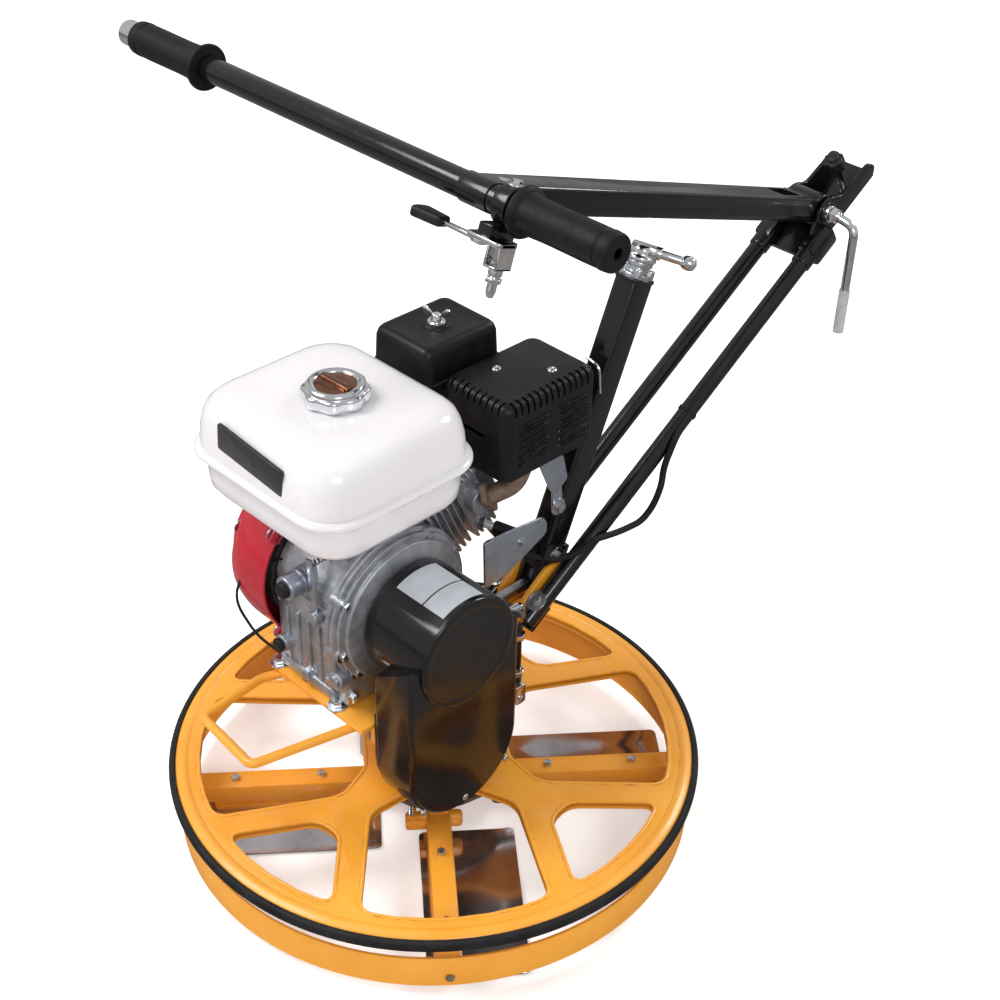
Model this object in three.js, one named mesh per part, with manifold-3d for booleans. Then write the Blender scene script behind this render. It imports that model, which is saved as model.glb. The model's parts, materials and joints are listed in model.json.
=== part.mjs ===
// Walk-behind power trowel with a folding handle, as an assembly of separate solids.
// Millimetres, +Z up, +X along the engine's crankshaft towards the belt cover, +Y towards the handle.
// Every dimension is measured from the point on the floor under the rotor axis.
// The last lines move the whole so that the middle of its footprint is the origin.

import * as THREE from 'three';
import { mergeVertices } from 'three/addons/utils/BufferGeometryUtils.js';
import Module from 'manifold-3d';

const wasm = await Module();
wasm.setup();

const rad = THREE.MathUtils.degToRad;

// ---------------------------------------------------------------- driving dimensions

const GAP = 0.3; // running gap between pieces that meet

const ROTOR_PHASE = rad(-39.5); // direction of the first trowel arm
const ARM_COUNT = 4;
const ARM_Z = 26; // height of the arms' pitch axes
const HOOP_R = 298; // stabiliser hoop, outside
const WHEEL_R = 300; // guard wheel, outside of its rim
const WHEEL_PHASE = rad(7.5);
const WHEEL_TOP = 88;
const RIM_LOW = 74; // lower edge of the guard wheel's rim
const HUB_BORE = 42.3; // the guard wheel's hole, round its bearing

const SHANK_R = 9; // the arm's round end in the spider
const ARM_PIN_R = 6; // and the one in the hoop
const FINGER_Y = -30; // the finger that the pressure plate pushes
const WINDOW_R = 271; // outer side of the guard wheel's windows

const SHAFT_R = 12.5; // output shaft
const JOURNAL_R = 10; // crankshaft and worm shaft
const SCREW_R = 5; // pitch screw, yoke pivot and lock knob shank
const CLAMP_R = 6; // clamp bolt on the fold axis
const SLEEVE_R = 22.5; // pitch sleeve that slides in the gearbox neck
const NECK_R = 29;
const NECK_LOW = 80;
const YOKE_Z = 116; // height of the yoke's pivot, sleeve pins and link pin
const YOKE_PIVOT_Y = -62;

const BOX_R = 41.5; // round part of the gearbox
const BOX_LOW = 124; // gearbox underside
const LID_LOW = 194.3;
const PLATE_LOW = 203; // engine base plate
const PLATE_TOP = 209;

const WORM = { y: -51, z: 171, pitchR: 19, tipR: 21.4, rootR: 16.2 };
const WHEEL_TEETH = 22;
const WORM_WHEEL = { pitchR: -WORM.y - 19, tipR: 34.3, rootR: 29 };
const WORM_LEAD = (2 * Math.PI * WORM_WHEEL.pitchR) / WHEEL_TEETH;

const CRANK = { y: -51, z: 315 }; // crankshaft axis
const PULLEY_X = 78; // mid-plane of the belt drive
const DRIVE_PULLEY_R = 36;
const DRIVEN_PULLEY_R = 58;
const COVER_R = 78; // lower belt cover
const COVER_BACK = 43;
const COVER_FRONT = 106;
const DRUM_R = 65; // upper drum of the belt cover
const DRUM_BACK = 19;
const DRUM_FRONT = 112;

const CRANK_AT = [CRANK.y, CRANK.z];
const WORM_AT = [WORM.y, WORM.z];
const CYLINDER_LEAN = rad(25); // the cylinder's axis rises from +Y
const CYLINDER_X = -62;
const BORE_R = 34; // inside of the cylinder
const STOP_SWITCH = [-66, 351]; // across and up
const FAN_BACK = -184; // outer face of the fan cover
const RECOIL_ROPE = [-198, 347]; // the starter's rope leaves towards +Y, away from the stop switch
const TANK = { x: [-191, 54], y: [-186, 34], seam: 492, low: 438, high: 556, cap: [-61, -75] };
const AIR = { x: [-160, -66], y: [53, 166], split: 506, top: 553 }; // air cleaner
const INTAKE = [111, 456]; // axis of the carburettor's throat, which runs along X
const MUFFLER = { x: [-62, 38], y: [70, 208], z: [432, 524] }; // the pressed guard over the silencer

const COLUMN = { foot: [0, 147, 209], lean: rad(22.7), width: 30, depth: 36, top: 405 };
const TUBE = { foot: [0, 102, 209], slope: rad(33.45), spread: 32, radius: 10.5, start: 14, end: 596 };
const PIVOT = { along: 629.5, above: 16.8 }; // fold axis, measured along and above the lower tubes
const FOLD = rad(161.3); // direction of the folded upper bar, from +Y up
const BAR_LENGTH = 578.7;
const BAR = { width: 45, height: 30, wall: 2.5 };
const CROSSBAR = { left: -600, right: 172, radius: 14.5 };
const GRIP_R = 19.5;
const KNOB_ALONG = 690; // the lock knob's place along the lower tubes
const THROTTLE = { x: 38, ahead: BAR_LENGTH + 21, platform: 29 };

// Facets of a round: rims and rings, casings, ordinary rounds, and small pins.
const LARGE = 40;
const MEDIUM = 20;
const ROUND = 14;
const SMALL = 8;

// The radius of a faceted hole whose flats clear a turning shaft by the running gap.
const fit = (radius, facets = ROUND) => (radius + GAP) / Math.cos(Math.PI / facets);

// ---------------------------------------------------------------- materials

const finish = (color, roughness, metalness) =>
  new THREE.MeshStandardMaterial({ color, roughness, metalness });
const orange = () => finish(0xf0a02a, 0.45, 0.1);
const glossBlack = () => finish(0x0c0c10, 0.15, 0.1);
const satinBlack = () => finish(0x1b1c22, 0.45, 0.2);
const rubber = () => finish(0x17171a, 0.85, 0);
const castAluminium = () => finish(0x8d9096, 0.5, 0.8);
const steel = () => finish(0x9a9da3, 0.35, 0.9);
const bronze = () => finish(0xb08a4a, 0.4, 0.9);
const whiteEnamel = () => finish(0xefe9ee, 0.2, 0);
const redEnamel = () => finish(0xc51f33, 0.35, 0.1);
const bareSheet = () => finish(0xb9c7dc, 0.3, 0.9);
const bladeSteel = () => finish(0x4b4540, 0.25, 0.9);
const chrome = () => finish(0xd9dbe0, 0.12, 1);
const castIron = () => finish(0x4a4b4e, 0.7, 0.6);

// ---------------------------------------------------------------- solids and booleans

function solid(geometry) {
  const bare = geometry.index ? geometry.toNonIndexed() : geometry.clone();
  bare.deleteAttribute('normal');
  bare.deleteAttribute('uv');
  const merged = mergeVertices(bare, 1e-4);
  const mesh = new wasm.Mesh({
    numProp: 3,
    vertProperties: new Float32Array(merged.attributes.position.array),
    triVerts: new Uint32Array(merged.index.array),
  });
  mesh.merge();
  return new wasm.Manifold(mesh);
}

function geometryOf(manifold) {
  const mesh = manifold.getMesh();
  const geometry = new THREE.BufferGeometry();
  geometry.setAttribute('position', new THREE.BufferAttribute(new Float32Array(mesh.vertProperties), 3));
  geometry.setIndex(new THREE.BufferAttribute(new Uint32Array(mesh.triVerts), 1));
  geometry.computeVertexNormals();
  return geometry;
}

const join = (first, ...rest) =>
  geometryOf(rest.reduce((sum, part) => sum.add(solid(part)), solid(first)));
const cut = (first, ...rest) =>
  geometryOf(rest.reduce((left, part) => left.subtract(solid(part)), solid(first)));

function node(name, geometry, material) {
  const mesh = new THREE.Mesh(geometry, material);
  mesh.name = name;
  return mesh;
}

function group(position, rotation, ...children) {
  const result = new THREE.Group();
  result.position.set(...position);
  result.rotation.set(...rotation);
  result.add(...children);
  return result;
}

// ---------------------------------------------------------------- basic shapes

function block(x, y, z) {
  const geometry = new THREE.BoxGeometry(x[1] - x[0], y[1] - y[0], z[1] - z[0]);
  return geometry.translate((x[0] + x[1]) / 2, (y[0] + y[1]) / 2, (z[0] + z[1]) / 2);
}

// A cylinder along one axis from low to high, centred on the other two coordinates.
function rod(axis, radius, low, high, centre = [0, 0], facets = ROUND, radiusHigh = radius) {
  const geometry = new THREE.CylinderGeometry(radiusHigh, radius, high - low, facets);
  const middle = (low + high) / 2;
  if (axis === 'x') return geometry.rotateZ(-Math.PI / 2).translate(middle, centre[0], centre[1]);
  if (axis === 'y') return geometry.translate(centre[0], middle, centre[1]);
  return geometry.rotateX(Math.PI / 2).translate(centre[0], centre[1], middle);
}

// A closed profile of [radius, height] points turned about an axis. The profile may run either way round.
function turned(axis, profile, centre = [0, 0], facets = ROUND) {
  const points = profile.map(([radius, height]) => new THREE.Vector2(radius, height));
  if (THREE.ShapeUtils.isClockWise(points)) points.reverse();
  points.push(points[0]);
  const geometry = new THREE.LatheGeometry(points, facets);
  if (axis === 'x') return geometry.rotateZ(-Math.PI / 2).translate(0, centre[0], centre[1]);
  if (axis === 'y') return geometry.translate(centre[0], 0, centre[1]);
  return geometry.rotateX(Math.PI / 2).translate(centre[0], centre[1], 0);
}

// A range [low, high] made longer by the same amount at both ends.
const grow = (range, by) => [range[0] - by, range[1] + by];

const washer = (axis, inner, outer, low, high, centre, facets) =>
  turned(axis, [[inner, low], [outer, low], [outer, high], [inner, high]], centre, facets);

function roundedRectangle(x, y, radius) {
  const shape = new THREE.Shape();
  shape.moveTo(x[0] + radius, y[0]);
  shape.absarc(x[1] - radius, y[0] + radius, radius, -Math.PI / 2, 0);
  shape.absarc(x[1] - radius, y[1] - radius, radius, 0, Math.PI / 2);
  shape.absarc(x[0] + radius, y[1] - radius, radius, Math.PI / 2, Math.PI);
  shape.absarc(x[0] + radius, y[0] + radius, radius, Math.PI, 1.5 * Math.PI);
  return shape;
}

// A shape drawn in X and Y, raised from one height to another, its upper and lower edges bevelled.
function raised(shape, low, high, bevel = 0, curveSegments = 1) {
  const settings = {
    depth: high - low - 2 * bevel,
    curveSegments,
    bevelEnabled: bevel > 0,
    bevelThickness: bevel,
    bevelSize: bevel,
    bevelOffset: -bevel,
    bevelSegments: 1,
  };
  return new THREE.ExtrudeGeometry(shape, settings).translate(0, 0, low + bevel);
}

// A shape drawn in Y and Z, drawn out along X.
function drawnX(shape, low, high, curveSegments = 3) {
  const settings = { depth: high - low, curveSegments, bevelEnabled: false };
  const geometry = new THREE.ExtrudeGeometry(shape, settings);
  const basis = new THREE.Matrix4().makeBasis(
    new THREE.Vector3(0, 1, 0), new THREE.Vector3(0, 0, 1), new THREE.Vector3(1, 0, 0));
  return geometry.applyMatrix4(basis).translate(low, 0, 0);
}

const roundedBlock = (x, y, z, radius, bevel = 0) =>
  raised(roundedRectangle(x, y, radius), z[0], z[1], bevel);

// A round bar along a path whose corners are rounded by straight chords of a curve.
function bentBar(points, radius, corner, facets = SMALL) {
  const path = new THREE.CurvePath();
  const at = points.map((point) => new THREE.Vector3(...point));
  let from = at[0];
  for (let i = 1; i < at.length - 1; i += 1) {
    const before = at[i].clone().add(at[i - 1].clone().sub(at[i]).setLength(corner));
    const after = at[i].clone().add(at[i + 1].clone().sub(at[i]).setLength(corner));
    path.add(new THREE.LineCurve3(from, before));
    path.add(new THREE.QuadraticBezierCurve3(before, at[i], after));
    from = after;
  }
  path.add(new THREE.LineCurve3(from, at[at.length - 1]));
  const section = new THREE.Shape().absarc(0, 0, radius, 0, 2 * Math.PI);
  const steps = 3 * points.length;
  const curveSegments = facets / 2;
  return new THREE.ExtrudeGeometry(section, { steps, extrudePath: path, curveSegments, bevelEnabled: false });
}

// ---------------------------------------------------------------- ground end

function blade() {
  const plate = roundedBlock([66, 279], [-23, 88], [0, 3], 6);
  const mountingBar = block([112, 258], [-12, 12], [2.5, ARM_Z - 12 - GAP]);
  return join(plate, mountingBar);
}

// The arm lies along +X: shank in the spider, square bar, pin in the hoop, finger under the pressure plate.
function trowelArm() {
  const postR = 4.5;
  const shank = rod('x', SHANK_R, 34, 70, [0, ARM_Z]);
  const bar = block([64, 286], [-14, 14], [ARM_Z - 12, ARM_Z + 12]);
  const endPin = rod('x', ARM_PIN_R, 280, HOOP_R - 3.5, [0, ARM_Z], SMALL);
  const finger = block([64, 78], [FINGER_Y - 5, 0], [ARM_Z - 6, ARM_Z + 8]);
  const post = rod('z', postR, ARM_Z, 54, [71, FINGER_Y], SMALL);
  const tip = rod('z', postR, 54, 56, [71, FINGER_Y], SMALL, 2);
  return join(shank, bar, endPin, finger, post, tip);
}

function spider() {
  const arms = [];
  const bores = [rod('z', fit(SHAFT_R), 0, 60)];
  for (let i = 0; i < ARM_COUNT; i += 1) {
    const turn = (i * 2 * Math.PI) / ARM_COUNT;
    arms.push(rod('x', 17, 10, 62, [0, ARM_Z]).rotateZ(turn));
    bores.push(rod('x', fit(SHANK_R), 33, 63, [0, ARM_Z]).rotateZ(turn));
  }
  return cut(join(rod('z', 31, 9, 46), ...arms), ...bores);
}

function stabiliserHoop() {
  const band = washer('z', HOOP_R - 3, HOOP_R, 13, 55, [0, 0], LARGE);
  const holes = [];
  for (let i = 0; i < ARM_COUNT; i += 1) {
    const turn = (i * 2 * Math.PI) / ARM_COUNT;
    holes.push(rod('x', fit(ARM_PIN_R, SMALL), HOOP_R - 8, HOOP_R + 5, [0, ARM_Z], SMALL).rotateZ(turn));
  }
  return cut(band, ...holes);
}

const outputShaft = () => join(rod('z', SHAFT_R, 10, 188), rod('z', 15.5, 146, 156));

const pressurePlate = () =>
  turned('z', [[13.2, 56.5], [84, 56.5], [84, 62], [26, 62], [24, 70], [13.2, 70]], [0, 0], MEDIUM);

// The sleeve's lower flange is the thrust race that bears on the pressure plate's hub.
function pitchSleeve() {
  const bore = 13.4;
  const [low, shoulder, high] = [70.3, 78, 122];
  const tube = turned('z', [[bore, low], [24, low], [24, shoulder], [SLEEVE_R, shoulder], [SLEEVE_R, high],
    [bore, high]]);
  const pins = [[-37, 3 - SLEEVE_R], [SLEEVE_R - 3, 37]].map((x) => rod('x', 4, ...x, [0, YOKE_Z], SMALL));
  return join(tube, ...pins);
}

// ---------------------------------------------------------------- worm gear

// One tooth's thickness is less than half the pitch, which leaves the gear pair its backlash.
function wormWheel() {
  const shape = new THREE.Shape();
  const step = (2 * Math.PI) / WHEEL_TEETH;
  const corners = [[-0.31, WORM_WHEEL.rootR], [-0.13, WORM_WHEEL.tipR], [0.13, WORM_WHEEL.tipR],
    [0.31, WORM_WHEEL.rootR]];
  for (let tooth = 0; tooth < WHEEL_TEETH; tooth += 1) {
    for (const [offset, radius] of corners) {
      const angle = -Math.PI / 2 + (tooth + offset) * step;
      const place = [radius * Math.cos(angle), radius * Math.sin(angle)];
      if (shape.curves.length === 0 && tooth === 0 && offset === corners[0][0]) shape.moveTo(...place);
      else shape.lineTo(...place);
    }
  }
  const half = 9;
  const rim = new THREE.ExtrudeGeometry(shape, { depth: 2 * half, steps: 1, bevelEnabled: false });
  rim.translate(0, 0, -half);
  const helix = WORM_LEAD / (2 * Math.PI * WORM.pitchR) / WORM_WHEEL.pitchR;
  const position = rim.attributes.position;
  for (let i = 0; i < position.count; i += 1) {
    const height = position.getZ(i);
    const turn = height * helix;
    const [x, y] = [position.getX(i), position.getY(i)];
    position.setXY(i, x * Math.cos(turn) - y * Math.sin(turn), x * Math.sin(turn) + y * Math.cos(turn));
  }
  rim.translate(0, 0, WORM.z);
  const hub = rod('z', 21, WORM.z - 14, WORM.z + 14);
  return cut(join(rim, hub), rod('z', fit(SHAFT_R), WORM.z - 20, WORM.z + 20));
}

// The thread's section is swept as a helix: root, crest, crest, root for each step round the shaft.
function wormThread(turns, stepsPerTurn) {
  const foot = WORM.rootR - 1.5; // sunk into the core
  const section = [[-0.36, foot], [-0.13, WORM.tipR], [0.13, WORM.tipR], [0.36, foot]];
  const steps = Math.round(turns * stepsPerTurn);
  const points = [];
  for (let i = 0; i <= steps; i += 1) {
    const travel = i / stepsPerTurn - turns / 2;
    const angle = travel * 2 * Math.PI + Math.PI / 2;
    for (const [offset, radius] of section) {
      points.push((travel - 0.25 + offset) * WORM_LEAD, radius * Math.cos(angle), radius * Math.sin(angle));
    }
  }
  const index = [];
  const face = (a, b, c, d) => index.push(a, b, c, a, c, d);
  for (let i = 0; i < steps; i += 1) {
    for (let j = 0; j < 4; j += 1) {
      const next = (j + 1) % 4;
      face(4 * i + j, 4 * i + 4 + j, 4 * i + 4 + next, 4 * i + next);
    }
  }
  face(0, 1, 2, 3);
  face(4 * steps + 3, 4 * steps + 2, 4 * steps + 1, 4 * steps);
  const geometry = new THREE.BufferGeometry();
  geometry.setAttribute('position', new THREE.Float32BufferAttribute(points, 3));
  geometry.setIndex(index);
  return geometry;
}

function wormShaft() {
  const thread = solid(wormThread(3, 10));
  const core = join(
    rod('x', WORM.rootR, -22, 22, [0, 0]),
    rod('x', JOURNAL_R, -38, COVER_FRONT - 10, [0, 0]),
    rod('x', 13, -24, 23, [0, 0]));
  return geometryOf(solid(core).add(thread)).translate(0, ...WORM_AT);
}

// ---------------------------------------------------------------- gearbox

function gearboxOutline(low, high) {
  return join(rod('z', BOX_R, low, high, [0, 0], MEDIUM), block([-46, 42], [-79, 0], [low, high]));
}

function gearboxHousing() {
  const mountEars = [[-30, -22], [22, 30]].map((x) => block(x, [-72, -52], [YOKE_Z - 8, 146]));
  const wormCase = block([-46, 42], [-79, 0], [143, 194]);
  const round = rod('z', BOX_R, BOX_LOW, 194, [0, 0], MEDIUM);
  const outside = join(round, wormCase, rod('z', NECK_R, NECK_LOW, 130), ...mountEars);
  const cavities = [
    rod('z', 36, 148, 195, [0, 0], MEDIUM),
    rod('x', 22.6, -26, 24, WORM_AT),
    block([-26, 24], [-73, -20], [WORM.z, 195]),
    rod('x', fit(JOURNAL_R), -40, 60, WORM_AT),
    rod('z', 26 + GAP, BOX_LOW + 4, 150),
    rod('z', SLEEVE_R + GAP, NECK_LOW - 1, 124, [0, 0], MEDIUM),
    rod('z', fit(SHAFT_R), 120, 130),
    block([-40, 40], [-5, 5], [YOKE_Z - 14, YOKE_Z + 5]),
    rod('x', fit(SCREW_R, SMALL), -45, 45, [YOKE_PIVOT_Y, YOKE_Z], SMALL),
  ];
  return cut(outside, ...cavities);
}

const gearboxLid = () =>
  cut(gearboxOutline(LID_LOW, PLATE_LOW - GAP), rod('z', 14, LID_LOW - 1, LID_LOW + 3));

const outputBearing = () => washer('z', fit(SHAFT_R), 26, BOX_LOW + 4 + GAP, 142);

const guardBearing = () => washer('z', NECK_R + 2 * GAP, 42, 80.3, 96, [0, 0], MEDIUM);

// ---------------------------------------------------------------- guard wheel

// A closed outline through [radius, angle] points, its corners rounded.
function windowShape(points, corner) {
  const shape = new THREE.Shape();
  const at = points.map(([radius, angle]) =>
    new THREE.Vector2(radius * Math.cos(angle), radius * Math.sin(angle)));
  at.forEach((point, i) => {
    const before = at[(i + at.length - 1) % at.length];
    const after = at[(i + 1) % at.length];
    const from = point.clone().add(before.clone().sub(point).setLength(corner));
    const to = point.clone().add(after.clone().sub(point).setLength(corner));
    if (i === 0) shape.moveTo(from.x, from.y);
    else shape.lineTo(from.x, from.y);
    shape.quadraticCurveTo(point.x, point.y, to.x, to.y);
  });
  return shape;
}

// Each large window has its outer side as an arc of the rim, between straight spokes.
function largeWindow() {
  const half = rad(21.5);
  const points = [[92, -rad(24)], [138, -rad(36)]];
  for (let i = -1; i <= 1; i += 1) points.push([WINDOW_R, i * half]);
  points.push([138, rad(36)], [92, rad(24)]);
  return windowShape(points, 9);
}

function smallWindow() {
  const points = [[186, -rad(5)]];
  const half = rad(16.5);
  for (let i = -1; i <= 1; i += 1) points.push([WINDOW_R, i * half]);
  points.push([186, rad(5)]);
  return windowShape(points, 8);
}

function guardWheel() {
  const low = 79;
  const disc = turned('z', [[HUB_BORE, low], [WHEEL_R - 4, low], [WHEEL_R - 4, RIM_LOW], [WHEEL_R, RIM_LOW],
    [WHEEL_R, WHEEL_TOP], [HUB_BORE, WHEEL_TOP]], [0, 0], LARGE);
  const windows = [];
  for (let i = 0; i < 4; i += 1) {
    windows.push(raised(largeWindow(), 60, 100, 0, 1).rotateZ(rad(45 + 90 * i)));
    windows.push(raised(smallWindow(), 60, 100, 0, 1).rotateZ(rad(90 * i)));
  }
  return cut(disc, ...windows);
}

const guardBand = () =>
  turned('z', [[WHEEL_R + GAP, RIM_LOW], [306, RIM_LOW + 1], [307, 80.5], [306, 87], [WHEEL_R + GAP, 87]],
    [0, 0], LARGE);

// ---------------------------------------------------------------- frame

function enginePlate() {
  const deck = block([-122, 36], [-138, 62], [PLATE_LOW, PLATE_TOP]);
  const tongue = block([-21, 21], [60, 168], [PLATE_LOW, PLATE_TOP]);
  const gussetOutline = new THREE.Shape();
  gussetOutline.moveTo(118, PLATE_TOP - 2);
  gussetOutline.lineTo(168, PLATE_TOP - 2);
  gussetOutline.lineTo(192, 262);
  gussetOutline.lineTo(160, 268);
  gussetOutline.lineTo(118, 236);
  const gussets = [drawnX(gussetOutline, 15.4, 21.2), drawnX(gussetOutline, -21.2, -15.4)];
  const crossBolt = rod('x', 4, -40, 40, [136, 231.5], SMALL);
  const nutSlot = block([-12, 12], [133, 161], [PLATE_LOW - 1, PLATE_TOP + 1]);
  return cut(join(deck, tongue, ...gussets), crossBolt, nutSlot);
}

function guardBar() {
  const z = 197.4;
  const corners = [[26, -84, z], [-15, -248, z], [-110, -240, z], [-118, -154, z], [-106, -126, z]];
  const bar = bentBar(corners, 5.3, 12);
  const tab = block([-116, -96], [-134, -112], grow([z, z], 2.7));
  return join(bar, tab);
}

// ---------------------------------------------------------------- belt drive

function clutchHub() {
  const hub = washer('x', JOURNAL_R + GAP, 20, 27, 62, CRANK_AT);
  const shoes = [];
  for (let i = 0; i < 3; i += 1) {
    const sector = new THREE.Shape();
    const from = rad(120 * i + 8);
    const to = rad(120 * i + 112);
    sector.absarc(0, 0, 39, from, to, false);
    sector.absarc(0, 0, 18, to, from, true);
    shoes.push(drawnX(sector, 32, 54).translate(0, ...CRANK_AT));
  }
  return join(hub, ...shoes);
}

// The sides and floor of a belt groove, as [radius, x] points.
function grooveProfile(radius) {
  const [tip, root] = [radius + 4, radius - 9];
  return [[tip, PULLEY_X - 9], [root, PULLEY_X - 3.5], [root, PULLEY_X + 3.5], [tip, PULLEY_X + 9]];
}

// The drum and its pulley are one turned piece that runs free on the crankshaft's end.
function clutchDrum() {
  const bore = JOURNAL_R + GAP;
  const groove = grooveProfile(DRIVE_PULLEY_R);
  const [low, high] = [groove[0][1], groove[3][1]];
  const profile = [[bore, 64], [42, 64], [42, 28], [46, 28], [46, low - 1], ...groove,
    [DRIVE_PULLEY_R + 4, high + 2], [bore, high + 2]];
  return turned('x', profile, CRANK_AT, MEDIUM);
}

function drivenPulley() {
  const bore = JOURNAL_R + GAP;
  const profile = [[bore, PULLEY_X - 9], ...grooveProfile(DRIVEN_PULLEY_R), [bore, PULLEY_X + 9]];
  return turned('x', profile, WORM_AT, MEDIUM);
}

// The belt's outline is the two pulleys' arcs joined by their common tangents.
function beltOutline(reach) {
  const [small, large] = [DRIVE_PULLEY_R + reach, DRIVEN_PULLEY_R + reach];
  const lean = Math.asin((large - small) / (CRANK.z - WORM.z));
  const shape = new THREE.Shape();
  shape.absarc(...WORM_AT, large, Math.PI - lean, 2 * Math.PI + lean, false);
  shape.absarc(...CRANK_AT, small, lean, Math.PI - lean, false);
  return shape;
}

function driveBelt() {
  const half = 4.6;
  const loop = drawnX(beltOutline(2), PULLEY_X - half, PULLEY_X + half, 8);
  return cut(loop, drawnX(beltOutline(-5), PULLEY_X - 10, PULLEY_X + 10, 8));
}

function coverOutline(radius, top) {
  const shape = new THREE.Shape();
  shape.absarc(...WORM_AT, radius, Math.PI, 2 * Math.PI, false);
  shape.lineTo(WORM.y + radius, top);
  shape.lineTo(WORM.y - radius, top);
  return shape;
}

// The lower case's shoulder slopes down towards the engine, and the drum stands a little proud in front.
function beltCover() {
  const wall = 2.5;
  const top = 322;
  const slope = rad(57);
  const wedge = block([-200, 0], [-200, 200], [0, 200]).rotateY(slope - Math.PI / 2);
  wedge.translate(100, WORM.y, top);
  const lower = cut(drawnX(coverOutline(COVER_R, top), COVER_BACK + 3 + GAP, COVER_FRONT, 8), wedge);
  const lowerInside = cut(drawnX(coverOutline(COVER_R - wall, top - 4), COVER_BACK, COVER_FRONT - wall, 8),
    wedge.clone().translate(0, 0, -5));
  const drum = rod('x', DRUM_R, DRUM_BACK, DRUM_FRONT, CRANK_AT, MEDIUM);
  const drumInside = rod('x', DRUM_R - wall, DRUM_BACK - 5, DRUM_FRONT - wall, CRANK_AT, MEDIUM);
  return cut(join(lower, drum), lowerInside, drumInside);
}

function beltCoverBack() {
  const plate = drawnX(coverOutline(COVER_R - 3, 232), COVER_BACK, COVER_BACK + 3, 8);
  return cut(plate, rod('x', 14, COVER_BACK - 2, COVER_BACK + 5, WORM_AT));
}

// ---------------------------------------------------------------- engine

// Turns a piece drawn along +Y, from the crank axis, onto the cylinder's axis.
const onCylinder = (geometry) => geometry.rotateX(CYLINDER_LEAN).translate(CYLINDER_X, CRANK.y, CRANK.z);

function crankcase() {
  const shape = new THREE.Shape();
  const foot = PLATE_TOP + GAP - CRANK.z;
  shape.moveTo(-76, foot);
  shape.lineTo(82, foot);
  shape.lineTo(82, foot + 12);
  shape.lineTo(66, foot + 20);
  shape.lineTo(78.4, -12);
  shape.lineTo(41.2, 67.8);
  shape.absarc(0, 0, 79.3, rad(58.7), rad(161.5), false);
  const body = drawnX(shape, -112, -16.3, 10).translate(0, ...CRANK_AT);
  const tankStays = [[-110, -104], [-32, -26]].map((x) =>
    block(x, [CRANK.y - 46, CRANK.y + 30], [CRANK.z + 60, TANK.low - GAP]));
  const switchBoss = rod('y', 16, -128, -112, STOP_SWITCH);
  return cut(join(body, ...tankStays, switchBoss),
    rod('x', 62, -104, -10, CRANK_AT, MEDIUM),
    block([-104, -10], [CRANK.y - 60, CRANK.y + 56], [CRANK.z - 92, CRANK.z]),
    rod('x', fit(JOURNAL_R), -120, -100, CRANK_AT),
    onCylinder(rod('y', BORE_R, 50, 90)));
}

function crankcaseCover() {
  const bore = JOURNAL_R + GAP;
  const profile = [[bore, -16], [88, -16], [88, -2], [60, 12], [22, 17], [bore, 17]];
  const cover = turned('x', profile, CRANK_AT, MEDIUM);
  const sump = block([-16, -2], [CRANK.y - 74, CRANK.y + 70], [PLATE_TOP + GAP, CRANK.z - 30]);
  return cut(join(cover, sump), rod('x', fit(JOURNAL_R), -30, 30, CRANK_AT),
    block([-17, -5], [CRANK.y - 50, CRANK.y + 50], [CRANK.z - 55, CRANK.z - 25]));
}

function crankshaft() {
  const shaft = rod('x', JOURNAL_R, -188, 92, CRANK_AT);
  const webs = [[-80, -70], [-54, -44]].map((x) =>
    block(x, [CRANK.y - 20, CRANK.y + 20], [CRANK.z - 40, CRANK.z + 38]));
  const pin = rod('x', 12, -75, -49, [CRANK.y, CRANK.z + 24], SMALL);
  return cut(join(shaft, ...webs, pin), block([-69.9, -54.1], [CRANK.y - 12, CRANK.y + 12],
    [CRANK.z - 12, CRANK.z + 11.5]));
}

function flywheel() {
  const bore = JOURNAL_R + GAP;
  const profile = [[bore, -142], [60, -142], [78, -138], [80, -118], [bore, -118]];
  const blades = [];
  for (let i = 0; i < 6; i += 1) {
    const fan = block([-156, -140], [-1.5, 1.5], [46, 76]).rotateX(rad(60 * i));
    blades.push(fan.translate(0, ...CRANK_AT));
  }
  return join(turned('x', profile, CRANK_AT, MEDIUM), ...blades);
}

function cylinderBarrel() {
  const parts = [block([-38, 38], [66 + GAP, 74], [-42, 42])];
  for (let i = 0; i < 4; i += 1) {
    const at = 80 + 12 * i;
    parts.push(block([-45, 45], [at, at + 3], [-46, 46]));
  }
  return onCylinder(cut(join(rod('y', 42, 66 + GAP, 126), ...parts), rod('y', BORE_R, 60, 130)));
}

function cylinderHead() {
  const parts = [];
  for (let i = 0; i < 4; i += 1) parts.push(block([-45, 45], [129 + 9 * i, 133 + 9 * i], [-50, 46]));
  const rocker = roundedBlock([-36, 34], [158, 184], [-34, 32], 8);
  const exhaustPort = rod('x', 16, 30, 60, [146, 12]);
  const inletPort = rod('x', 13, -50, -30, [146, 18]);
  const core = block([-44, 44], [127, 160], [-42, 40]);
  return onCylinder(join(core, rocker, exhaustPort, inletPort, ...parts));
}

function fuelTank() {
  const { x, y, seam, low, high, cap } = TANK;
  const neckR = 22;
  const outline = (inset, corner) => roundedRectangle(grow(x, -inset), grow(y, -inset), corner);
  const upper = raised(outline(5, 42), seam - 14, high, 14, 2);
  const lower = raised(outline(10, 38), low, seam + 4, 6, 2);
  const lip = raised(outline(0, 46), seam - 3, seam + 3);
  const inside = raised(outline(14, 34), low + 3, high - 4);
  const shell = cut(join(upper, lower, lip), inside, rod('z', neckR + 2, high - 20, high + 44, cap));
  const neck = washer('z', neckR, neckR + 4, high - 6, high + 4, cap);
  return cut(join(shell, neck), rod('z', neckR, high - 20, high + 44, cap));
}

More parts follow.
